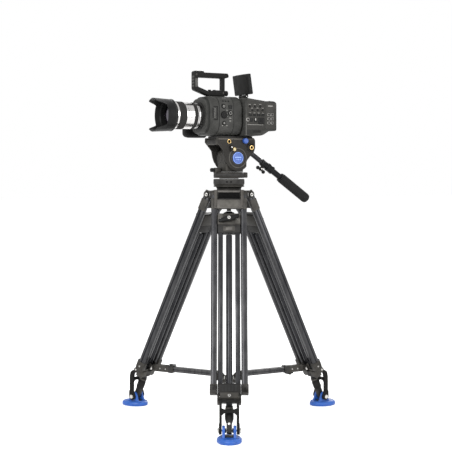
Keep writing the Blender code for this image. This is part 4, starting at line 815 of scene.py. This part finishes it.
p = Piece("wing_screw", W)
p.rod(bp(45, 7.9), bp(45, 23), 2.5, STEEL, 24, 0.3)
p.lathe([(0, 10.4), (4.4, 10.4), (4.6, 11.2), (5.4, 16.5), (5.0, 21.8), (4.2, 22.3), (0, 22.3)], BLACK,
        Matrix.Translation(bp(45) * MM) @ (bp(45, 1) - bp(45)).to_track_quat("Z", "Y").to_matrix().to_4x4(), 40)
for s in (1, -1):
    p.rod(bp(45 + s * 1.0, 18.2), bp(45 + s * 9.6, 19.5), 3.6, BLACK, 24, 0.6, r2=2.9)
    p.rod(bp(45 + s * 10.5, 19.5, -2.5), bp(45 + s * 10.5, 19.5, 2.5), 5.1, BLACK, 32, 1.2)
p.lathe([(0, 0), (2.7, 0), (2.7, 0.7), (2.0, 1.1), (0, 1.1)], STEEL,
        Matrix.Translation(bp(45, 22.9) * MM) @ (bp(45, 1) - bp(45)).to_track_quat("Z", "Y").to_matrix().to_4x4(), 32)
p.rod(bp(45, 16.5, -5.2), bp(45, 16.5, -6.0), 2.4, STEEL, 24, 0.3)
p.done("wing", "black_plastic", "bar_wing_screw")

# ================================================================ camcorder: front drum
CZ = 804.65


def ring_at(s, w, h, r, cz=CZ, n=11):
    return [(-s, y, cz + z) for y, z in rrect(w, h, r, n)]


def circle_at(s, r, w, h, rc, cz=OPT, n=11):
    out = []
    for y, z in rrect(w, h, rc, n):
        a = math.atan2(z, y)
        out.append((-s, r * math.cos(a), cz + r * math.sin(a)))
    return out


p = Piece("camcorder_front", W)
drum = [ring_at(-16.1, 84, 88, 26), ring_at(-15.6, 87.4, 91.2, 28), ring_at(-12.0, 88, 92, 28), ring_at(-11.9, 98.5, 97.5, 31),
        ring_at(-10.6, 102.2, 101.5, 33), ring_at(-8.0, 103.8, 103.2, 34)]
drum += [ring_at(12.4, 103.8, 103.2, 34), ring_at(12.9, 102.6, 102.0, 33.4), ring_at(14.3, 102.6, 102.0, 33.4), ring_at(14.8, 103.8, 103.2, 34)]
drum += [ring_at(54.6, 103.8, 103.2, 34), ring_at(55.0, 102.0, 101.4, 33.2), ring_at(56.6, 102.0, 101.4, 33.2), ring_at(57.0, 103.8, 103.2, 34)]
drum += [ring_at(74.0, 103.8, 103.2, 34), ring_at(78.2, 102.2, 101.6, 33.4), ring_at(81.0, 98.0, 97.4, 31), ring_at(81.9, 93.0, 92.6, 28),
         ring_at(82.2, 91.6, 91.2, 27), ring_at(87.2, 91.6, 91.2, 27), ring_at(89.2, 89.4, 89.0, 26), ring_at(89.9, 85.0, 84.6, 24)]
drum += [circle_at(89.9, 36.4, 85, 84.6, 24), circle_at(89.0, 36.0, 85, 84.6, 24), circle_at(89.0, 31.2, 85, 84.6, 24), circle_at(84.2, 31.0, 85, 84.6, 24)]
p.loft(drum, BODY)
p.lathe([(29.2, 88.6), (31.1, 88.6), (31.1, 90.6), (33.6, 90.6), (33.6, 88.9), (36.2, 88.9), (36.2, 90.9), (35.4, 91.6), (29.9, 91.6), (29.2, 90.9)],
        BODY_DARK, LENS, 96)
p.hblock(-4.8, 69.8, -23.8, 23.8, 753.1, 756.0, BODY_DARK, r=0.8)
p.hblock(18.2, 65.8, -12.8, 12.8, 851, 857.4, BODY_DARK, r=0.9)
p.rod(P(45, -46, 800), P(45, -63.3, 800), 19.8, BODY_DARK, 72, 1.2)
p.lathe([(12.5, 0), (18.4, 0), (18.4, 0.3), (12.5, 0.3)], CAST_LIGHT, along(P(45, -63.2, 800), (0, 1, 0)), 96, flutes=(24, 18.3, 1.2))
# front-left bracket and dial cluster
L0 = 51.7


def side_block(s0, s1, z0, z1, finish, l=L0, h=1.0, r=0.5):
    p.hblock(s0, s1, l - 0.6, l + h, z0, z1, finish, r=r)


side_block(60.8, 63.4, 792.4, 828.0, BODY_DARK, h=1.0)
side_block(60.8, 73.0, 825.6, 828.2, BODY_DARK, h=1.0)
side_block(60.8, 73.0, 792.2, 794.8, BODY_DARK, h=1.0)
for i in range(5):
    side_block(67.0, 76.5, 798.4 + i * 5.2, 801.2 + i * 5.2, KEY, h=0.7)
    side_block(67.8, 71.0, 799.3 + i * 5.2, 800.3 + i * 5.2, INK, h=0.85, r=0.0)
for s0, z0, r0 in ((43.5, 828.5, 5.2), (42.2, 784.6, 4.4), (23.4, 811.4, 6.4)):
    at = along(P(s0, L0 - 0.3, z0), LEFT)
    p.lathe([(0, 0), (r0 + 1.4, 0), (r0 + 1.4, 0.7), (r0 + 0.7, 1.0), (r0, 0.7), (r0, 0.4), (0, 0.4)], BODY_DARK, at, 48)
    p.lathe([(0, 0.4), (r0 - 0.5, 0.4), (r0 - 0.5, 1.9), (r0 - 1.0, 2.3), (0, 2.4)], KEY, at, 72, flutes=(18, r0 - 0.6, 0.4))
    p.lathe([(r0 - 3.0, 2.35), (r0 - 2.3, 2.3), (r0 - 2.3, 2.5), (r0 - 3.0, 2.5)], INK, at, 36)
at = along(P(42.5, L0 - 0.3, 806.2), LEFT)
p.lathe([(0, 0), (10.2, 0), (10.2, 0.8), (9.4, 1.3), (8.2, 1.3), (7.8, 0.8), (0, 0.8)], BODY_DARK, at, 64)
p.lathe([(0, 0.8), (7.4, 0.8), (7.4, 3.2), (6.7, 3.8), (5.2, 3.9), (4.8, 3.4), (0, 3.4)], KEY, at, 96, flutes=(24, 7.3, 0.5))
p.lathe([(0, 3.4), (2.2, 3.4), (2.0, 4.0), (0, 4.1)], BODY_DARK, at, 32)
side_block(18.4, 29.4, 822.2, 831.4, BODY_DARK, h=0.8)
side_block(19.6, 28.2, 823.4, 830.2, KEY, h=1.6)
for s0, z0, w in ((33.6, 818.5, 3.0), (33.6, 810.0, 2.4), (33.6, 802.5, 3.0), (24.0, 798.0, 6.0), (24.0, 790.6, 5.0), (34.0, 778.0, 3.0), (46.5, 778.0, 2.4)):
    side_block(s0 - w / 2, s0 + w / 2, z0 - 0.55, z0 + 0.55, INK, h=0.35, r=0.0)
for z0 in (842.0,):
    for s0 in (42, 34, 26):
        c = P(s0, 44.6, z0)
        p.rod(c, c + Vector((0, -0.75, 0.66)) * 1.6, 2.4, KEY, 28, 0.4)
# top plate, vents and cooling slots on the right side
for i in range(7):
    p.hblock(-4.0 + i * 5.4, -1.4 + i * 5.4, -52.0, -51.2, 776, 826, BODY_DARK, r=0.3, segs=1)
p.done("plate", "camera_grey", "camera_front_body")

# rear box
p = Piece("camcorder_rear", W)
rear = [(-17.1, 753.3), (-17.1, 852.8), (-45, 849.3), (-88, 844.3), (-90, 846.3), (-105, 845.3), (-110, 842), (-111.4, 838), (-111.4, 770),
        (-109, 766.8), (-90, 766.6), (-72, 756), (-62, 753.3)]
p.plate(fillet(rear, 2.2, 3), 119.6, BODY, side_at(3.0), bevel=3.2)
p.plate(fillet([(-19.5, 768.5), (-19.5, 846.8), (-46, 843.6), (-76.5, 840.0), (-76.5, 768.5)], 2.5, 3), 1.0, PANEL, side_at(62.6), bevel=0.35)
p.plate(fillet([(-78.2, 771.0), (-78.2, 839.6), (-104.5, 838.6), (-107.6, 835.5), (-107.6, 773.5), (-105, 771.0)], 2.2, 3), 0.9, PANEL, side_at(62.6),
        bevel=0.35)


def key_round(s0, z0, r0, l=63.0):
    at = along(P(s0, l, z0), LEFT)
    p.lathe([(0, 0), (r0 + 1.3, 0), (r0 + 1.3, 0.35), (r0 + 0.8, 0.6), (r0 + 0.4, 0.2), (0, 0.2)], CAST_LIGHT, at, 40)
    p.lathe([(0, 0.1), (r0, 0.1), (r0, 1.2), (r0 - 0.5, 1.6), (r0 * 0.6, 1.45), (0, 1.35)], KEY, at, 40)


for s0, z0 in ((-27.8, 829.3), (-43.5, 829.8), (-60.0, 830.3), (-35.6, 819.6), (-51.7, 820.1), (-67.2, 820.7)):
    key_round(s0, z0, 3.3)
    p.hblock(s0 - 3.2, s0 + 3.2, 63.0, 63.25, z0 + 5.4, z0 + 6.1, INK, r=0.0)
for i, s0 in enumerate((-29.5, -42.5, -55.5, -68.0)):
    p.hblock(s0 - 5.0, s0 + 5.0, 62.9, 63.5, 804.6, 811.2, BODY_DARK, r=0.5)
    p.hblock(s0 - 3.9, s0 + (0.6 if i % 2 else 3.4), 63.3, 64.6, 805.8, 810.0, KEY, r=0.7)
    p.hblock(s0 - 3.0, s0 + 3.0, 63.0, 63.25, 812.6, 813.2, INK, r=0.0)
at = along(P(-22.8, 63.0, 795.0), LEFT)
p.lathe([(0, 0), (4.6, 0), (4.6, 0.6), (4.0, 1.0), (3.4, 0.6), (0, 0.6)], INK, at, 40)
p.lathe([(0, 0.3), (3.3, 0.3), (3.3, 1.4), (2.6, 1.9), (0, 1.9)], KEY, at, 40)
p.hblock(-37.4, -28.6, 62.9, 63.9, 789.6, 799.4, KEY, r=0.6)
p.hblock(-50.4, -41.4, 62.9, 64.1, 788.6, 800.6, KEY, r=0.7)
p.hblock(-47.0, -44.4, 64.0, 64.5, 793.0, 799.0, INK, r=0.2, segs=1)
p.hblock(-73.0, -53.4, 62.9, 63.6, 783.6, 800.8, BODY_DARK, r=0.6)
at = along(P(-60.4, 63.4, 792.2), LEFT)
p.lathe([(0, 0), (6.6, 0), (6.6, 1.2), (5.9, 1.8), (4.2, 1.8), (3.8, 1.2), (0, 1.2)], KEY, at, 72, flutes=(18, 6.5, 0.35))
p.hblock(-72.4, -68.6, 63.3, 64.4, 786.0, 798.4, KEY, r=0.5)
p.hblock(-70.0, -22.0, 63.0, 63.3, 781.6, 782.2, INK, r=0.0)
for z0 in (809.2, 798.4, 787.6):
    p.hblock(-101.6, -82.0, 62.9, 63.5, z0 - 3.9, z0 + 3.9, BODY_DARK, r=0.5)
    for s0 in (-86.6, -96.6):
        p.hblock(s0 - 4.1, s0 + 4.1, 63.2, 63.8, z0 - 3.1, z0 + 3.1, INK, r=0.3, segs=1)
        p.hblock(s0 - 3.3, s0 + 3.3, 63.5, 64.6, z0 - 2.4, z0 + 2.4, KEY, r=0.7)
p.hblock(-98.0, -84.5, 63.0, 63.25, 831.6, 833.2, INK, r=0.0)
p.hblock(-61.5, -38.5, 62.7, 63.1, 761.0, 767.2, BODY_DARK, r=0.5)
# shoulder ridge, vents and connectors
for i in range(9):
    p.hblock(-30.0 + 1.5 * i - 40, -29.2 + 1.5 * i - 40, 20, 52, 846.9 - 0.16 * (8 - i), 847.6 - 0.12 * (8 - i), BODY_DARK, r=0.0)
for i in range(8):
    p.hblock(-100 + i * 8.5, -96 + i * 8.5, -57.4, -56.4, 800, 832, BODY_DARK, r=0.4, segs=1)
for z0 in (786, 776):
    p.lathe([(2.2, 0), (4.2, 0), (4.2, 1.0), (3.6, 1.4), (2.2, 1.2)], STEEL, along(P(-32, -56.9, z0), (0, 1, 0)), 32)
    p.lathe([(0, 0), (2.3, 0), (2.3, 0.4), (0, 0.4)], MATT, along(P(-32, -56.9, z0), (0, 1, 0)), 24)
p.hblock(-98, -48, -57.5, -56.6, 772, 792, PANEL, r=0.4)
p.plate(fillet([(-26, 768), (26, 768), (26, 837), (-26, 837)], 3, 3), 0.9, BODY_DARK,
        Matrix.Translation((111.3 * MM, 0, 0)) @ Y_UP, bevel=0.3)
for y0, z0 in ((-42, 826), (-42, 812), (-42, 798), (38, 826), (38, 808)):
    p.lathe([(2.6, 0), (4.8, 0), (4.8, 0.9), (4.2, 1.2), (2.6, 1.0)], STEEL, along((111.2, y0, z0), (1, 0, 0)), 32)
    p.lathe([(0, 0), (2.7, 0), (2.7, 0.5), (0, 0.5)], MATT, along((111.2, y0, z0), (1, 0, 0)), 24)
p.hblock(-111.9, -111.2, 32, 52, 775, 790, PANEL, r=0.3, segs=1)
p.done("plate", "camera_grey", "camera_rear_body")

p = Piece("battery", W)
p.hblock(-123.8, -112.0, -20.8, 20.8, 772.2, 831.8, BLACK, r=3.0, segs=3)
p.hblock(-124.2, -123.4, -15, 15, 780, 824, BODY_DARK, r=0.4, segs=1)
p.hblock(-121.5, -114, 20.6, 21.4, 790, 808, KEY, r=0.6)
p.done("plate", "black_plastic", "battery_pack")

# ================================================================ zoom lens
p = Piece("barrel", W)
p.lathe([(0, 174.6), (27.3, 174.6), (27.5, 176.5), (28.4, 178.0), (28.6, 180.5), (29.6, 182.0), (29.8, 184.4), (30.4, 185.9), (31.5, 185.9),
         (31.6, 185.0), (31.6, 166.4), (31.0, 166.2)] + [(31.0, 164.0), (0, 164.0)], MATT, LENS, 128)
p.lathe([(31.4, 166.1), (34.4, 166.0), (34.9, 165.5), (34.9, 160.9), (34.5, 160.4), (32.1, 160.3), (32.1, 140.3), (34.5, 140.2), (34.9, 139.8),
         (34.9, 129.4), (34.6, 129.2), (34.6, 128.8), (34.9, 128.6), (34.9, 118.3), (34.5, 117.9), (32.1, 117.7), (32.1, 106.9), (33.2, 106.7),
         (33.4, 106.2), (33.4, 101.0), (33.0, 100.5), (31.0, 100.1), (30.2, 99.4), (28.6, 90.8), (28.5, 84.5), (0, 84.5), (0, 160), (31.4, 160)], SILVER, LENS, 128)
p.lathe([(33.3, 104.7), (33.65, 104.5), (33.65, 103.5), (33.3, 103.3)], BODY_DARK, LENS, 128)
for k, w in ((0, 1.2), (1, 0.8), (2, 1.6), (3, 0.8), (4, 1.2)):
    ang = rad(4 + k * 6.5)
    rr = 34.9
    c = Vector((-134.5, -rr * math.cos(ang), OPT + rr * math.sin(ang)))
    p.rod(c, c + Vector((0, -math.cos(ang), math.sin(ang))) * 0.12, w, BODY_DARK, 16, 0.02)
p.done("plate", "lens_silver", "lens_barrel")

for nm, body, node, s0, s1, r1, cnt in (("zoom_grip", "zoom", "zoom_ring", 140.7, 159.9, 36.1, 90), ("focus_grip", "focus", "focus_ring", 107.3, 117.3, 34.7, 96)):
    p = Piece(nm, W)
    p.lathe([(32.55, s0), (r1 - 0.9, s0), (r1 - 0.8, s0 + 1.4), (r1, s0 + 1.6), (r1, s1 - 1.6), (r1 - 0.8, s1 - 1.4), (r1 - 0.9, s1), (32.55, s1)],
            LENS_RUB, LENS, cnt * 4, flutes=(cnt, r1 - 0.05, 0.75))
    p.done(body, "black_rubber", node)

p = Piece("front_element", W)
p.lathe([(0, 183.0), (5, 182.8), (10, 182.2), (15, 181.1), (20, 179.4), (24, 177.3), (26.2, 175.8), (26.8, 175.1), (0, 175.1)], GLASS, LENS, 96)
p.done("plate", "lens_glass", "front_lens_element")


# petal hood, its rim a smooth wave with two long and two short petals
def rim_at(a):
    """Front edge (s) at an angle about the lens axis; the long petals point up and down."""
    c = abs(math.sin(a))         # local Y is the camcorder's right-left, X is up
    return c


p = Piece("hood_shell", W)


def petal(z, a):
    if z < 186:
        return z
    up = abs(math.cos(a))
    ang = math.degrees(math.asin(min(1.0, math.sqrt(1 - up * up))))      # 0 at top and bottom, 90 at the sides
    # full length to 34 degrees, then a sweep back to the saddle at the sides
    t = min(1.0, max(0.0, (ang - 32.0) / 24.0))
    t = t * t * (3 - 2 * t)
    edge = 223.4 - 25.4 * t
    return 186 + (z - 186) * (edge - 186) / (223.4 - 186)


prof = [(43.3, 223.3), (43.7, 222.7), (43.6, 221.5)]
prof += [(43.6 - (43.6 - 41.1) * k / 10, 221.5 - (221.5 - 173.5) * k / 10) for k in range(1, 11)]
prof += [(40.6, 172.2), (39.2, 170.2), (37.4, 167.8), (36.5, 166.6), (35.5, 166.5), (32.2, 166.5), (32.2, 178.0), (35.4, 182.0), (38.0, 185.4)]
prof += [(38.4 + (41.9 - 38.4) * k / 10, 186.5 + (222.6 - 186.5) * k / 10) for k in range(0, 11)]
prof += [(42.4, 223.3)]
p.lathe(prof, HOOD, LENS, 192, cut=petal)
p.lathe([(41.3, 175.0), (41.75, 174.6), (41.75, 170.9), (40.0, 170.0), (39.8, 170.6), (40.9, 172.0)], HOOD, LENS, 180, flutes=(60, 41.7, 0.45))
for k in range(5):
    r = 33.0 + 0.95 * k
    z = 179.4 + 1.2 * k
    p.lathe([(r, z), (r + 1.6, z + 0.3), (r + 1.6, z + 0.7), (r, z + 0.35)], MATT, LENS, 96)
p.done("hood", "black_plastic", "lens_hood")

# ================================================================ top handle
p = Piece("handle", W)
outer = [(80, 921.7), (82.5, 922.1), (104, 922.1), (107, 919.5), (107, 876), (104, 871.5), (66, 857.9), (17.6, 857.9), (17.6, 905.0), (6.5, 907.5),
         (5.5, 912.5), (8.4, 918.5), (78.8, 918.5)]
hole = [(96.8, 905.3), (96.8, 881), (62, 868.5), (58, 871.8), (23.7, 871.8), (23.7, 905.3)]
p.plate(fillet(outer, 2.0, 3), 21.6, BODY_DARK, side_at(0), holes=[fillet(hole, 3.0, 3)], bevel=2.0)
p.plate(fillet([(78, 918.3), (78, 906.0), (26, 906.0), (9.5, 908.6), (8.6, 913.5), (10.5, 918.3)], 1.5, 3), 23.0, RUBBER, side_at(0), bevel=1.6)
p.hblock(83.0, 104.0, -9.0, 9.0, 921.6, 922.3, BODY_DARK, r=0.3)
for l in (7.6, -7.6):
    p.hblock(83.5, 103.5, l - 1.3, l + 1.3, 922.0, 922.75, STEEL, r=0.2, segs=1)
for z0 in (883, 891, 899, 907):
    p.hblock(106.2, 107.5, -7.5, 7.5, z0 - 2.6, z0 + 2.6, BODY, r=0.6)
for l in (10.75, -10.75):
    d = -1 if l > 0 else 1
    p.hblock(98.4, 105.4, l - 0.4, l + 0.4, 880, 902, BODY, r=0.3, segs=1)
    p.screw(along(P(101.9, l, 912.5), (0, d, 0)), 2.2, CAST_LIGHT, h=0.5)
    p.screw(along(P(22.0, l, 866.0), (0, d, 0)), 2.0, CAST_LIGHT, h=0.5)
    for s0 in (34, 47):
        p.screw(along(P(s0, l, 864.5), (0, d, 0)), 1.7, BODY_DARK, h=0.4)
    for k in range(7):
        p.hblock(30.0 + 6 * k, 31.6 + 6 * k, l - 0.7, l + 0.7, 909.5, 916.0, RUBBER, r=0.3, segs=1)
for s0 in (44.5, 58.5):
    p.rod(P(s0, 0, 871.2), P(s0, 0, 874.6), 4.4, KEY, 36, 0.9)
p.hblock(26.0, 40.0, -6.0, 6.0, 871.4, 873.6, PANEL, r=0.7)
p.done("plate", "camera_grey", "top_handle")

p = Piece("handle_screw", W)
at = along(P(16.8, 0, 866), (1, 0, 0))
p.lathe([(0, 0), (6.0, 0), (7.1, 1.0), (7.2, 9.6), (6.3, 11.2), (3.4, 11.6), (3.0, 11.0), (0, 11.0)], BLACK, at, 96, flutes=(16, 7.05, 0.6))
p.rod(P(24.8, 0, 866), P(16.4, 0, 866), 2.7, STEEL, 20, 0.2)
p.done("handle_knob", "black_plastic", "handle_clamp_knob")

# ================================================================ monitor on its post
p = Piece("post", W)
p.rod(P(-44, 0, 851.4), P(-44, 0, 856.4), 7.9, BODY_DARK, 56, 0.7)
p.rod(P(-44, 0, 855), P(-44, 0, 860.5), 4.9, BODY, 40, 0.5)
p.rod(P(-44, -13.8, 859.5), P(-44, 13.8, 859.5), 3.95, BODY_DARK, 40, 0.5)
p.rod(P(-44, -19.4, 859.5), P(-44, 19.4, 859.5), 1.65, STEEL, 24, 0.2)
p.done("lcd_swivel", "camera_grey", "lcd_post")

tip = Matrix.Translation(P(-44, 0, 859.5) * MM) @ Matrix.Rotation(rad(-8.4), 4, "Y") @ Matrix.Translation(-P(-44, 0, 859.5) * MM)
p = Piece("monitor", W @ tip)
face = fillet([(-42, 863.8), (42, 863.8), (42, 918.2), (-42, 918.2)], 3.4, 5)
LCD = Matrix.Translation((46.3 * MM, 0, 0)) @ Y_UP
p.plate(face, 10.9, BLACK, LCD, bevel=1.7)
p.plate(fillet([(-38.6, 867.4), (38.6, 867.4), (38.6, 914.8), (-38.6, 914.8)], 2.0, 4), 0.5, BODY_DARK, Matrix.Translation((40.8 * MM, 0, 0)) @ Y_UP, bevel=0.2)
p.plate(fillet([(-39.4, 866.6), (39.4, 866.6), (39.4, 915.6), (-39.4, 915.6)], 1.5, 4), 0.6, BODY_DARK, Matrix.Translation((51.9 * MM, 0, 0)) @ Y_UP, bevel=0.2)
p.plate(fillet([(-35.5, 871.5), (35.5, 871.5), (35.5, 912.0), (-35.5, 912.0)], 0.8, 3), 0.4, SCREEN, Matrix.Translation((52.2 * MM, 0, 0)) @ Y_UP, bevel=0.1)
p.hblock(-50.6, -42.2, -24, 24, 918.0, 918.6, BODY_DARK, r=0.0)
for k in range(4):
    p.hblock(-49.5, -43.5, 41.6, 42.4, 874 + k * 9, 880 + k * 9, KEY, r=0.4)
for s in (1, -1):
    p.hblock(-48.4, -40.9, s * 14.5, s * 19.9, 860.5, 866, BLACK, r=0.7)
    p.lathe([(2.0, 0), (4.0, 0), (4.4, 0.5), (4.4, 4.9), (4.0, 5.4), (2.0, 5.4)], BLACK, along(P(-44, s * 14.5, 859.5), (0, -s, 0)), 40)
p.done("lcd", "black_plastic", "lcd_monitor")

# ================================================================ side grip
p = Piece("hand_grip", W)
rings = []
for s0, dz, w, h, r in ((29.9, 1.5, 18, 60, 8), (31.0, 0.6, 21.6, 66, 9.4), (34.0, 0, 23.4, 71.0, 10.5), (60, 0, 23.6, 72.0, 10.5), (84, 0, 23.6, 72.0, 10.5),
                        (92.5, 0.4, 22.4, 69.0, 10), (96.0, 1.0, 19.6, 64, 9), (97.1, 1.6, 15, 57, 7)):
    rings.append([(-s0, 78.0 + y, 785.75 + dz + z) for y, z in rrect(w, h, r, 7)])
p.loft(rings, BLACK)
p.rod(P(45, -64.0, 800), P(45, -68, 800), 17.8, BODY_DARK, 72, 0.9)
p.rod(P(45, -56.2, 800), P(45, -66, 800), 4.9, STEEL, 28, 0.3)
for k in range(9):
    p.hblock(36 + 6.2 * k, 38.6 + 6.2 * k, -90.3, -89.2, 758, 812, RUBBER, r=0.5)
p.rod(P(88, -78, 818.5), P(88, -78, 823.2), 4.6, KEY, 32, 0.8)
p.rod(P(72, -78, 820.4), P(72, -78, 823.0), 3.4, KEY, 28, 0.6)
p.hblock(50, 63, -82.5, -73.5, 821.0, 822.8, PANEL, r=0.6)
p.done("grip", "black_plastic", "side_grip")

# ================================================================ floor and light
bm = bmesh.new()
bmesh.ops.create_grid(bm, x_segments=1, y_segments=1, size=30.0)
mesh = bpy.data.meshes.new("floor")
bm.to_mesh(mesh)
bm.free()
floor = bpy.data.objects.new("floor", mesh)
bpy.context.scene.collection.objects.link(floor)
mat, tree, bsdf = nodes_of("floor_paint")
bsdf.inputs["Base Color"].default_value = (0.93, 0.93, 0.93, 1)
bsdf.inputs["Roughness"].default_value = 0.95
bsdf.inputs["Specular IOR Level"].default_value = 0.1
bsdf.inputs["Emission Color"].default_value = (1, 1, 1, 1)
bsdf.inputs["Emission Strength"].default_value = 0.14
mesh.materials.append(mat)

world = bpy.data.worlds.new("studio")
world.use_nodes = True
world.node_tree.nodes["Background"].inputs["Color"].default_value = (1.0, 1.0, 1.0, 1)
world.node_tree.nodes["Background"].inputs["Strength"].default_value = 1.0
bpy.context.scene.world = world
bpy.context.scene.view_settings.view_transform = "Standard"


def softbox(name, where, target, size, watts):
    data = bpy.data.lights.new(name, "AREA")
    data.shape = "RECTANGLE"
    data.size, data.size_y = size
    data.energy = watts
    obj = bpy.data.objects.new(name, data)
    bpy.context.scene.collection.objects.link(obj)
    obj.location = where
    obj.rotation_euler = (Vector(target) - Vector(where)).to_track_quat("-Z", "Y").to_euler()
    return obj


softbox("key", (-1.9, -1.5, 1.9), (0, 0, 0.6), (1.1, 1.1), 62)
softbox("fill", (0.9, -2.4, 1.3), (0, 0, 0.5), (0.7, 1.8), 22)
softbox("rim", (1.6, 1.6, 1.7), (0, 0, 0.6), (1.0, 1.6), 34)
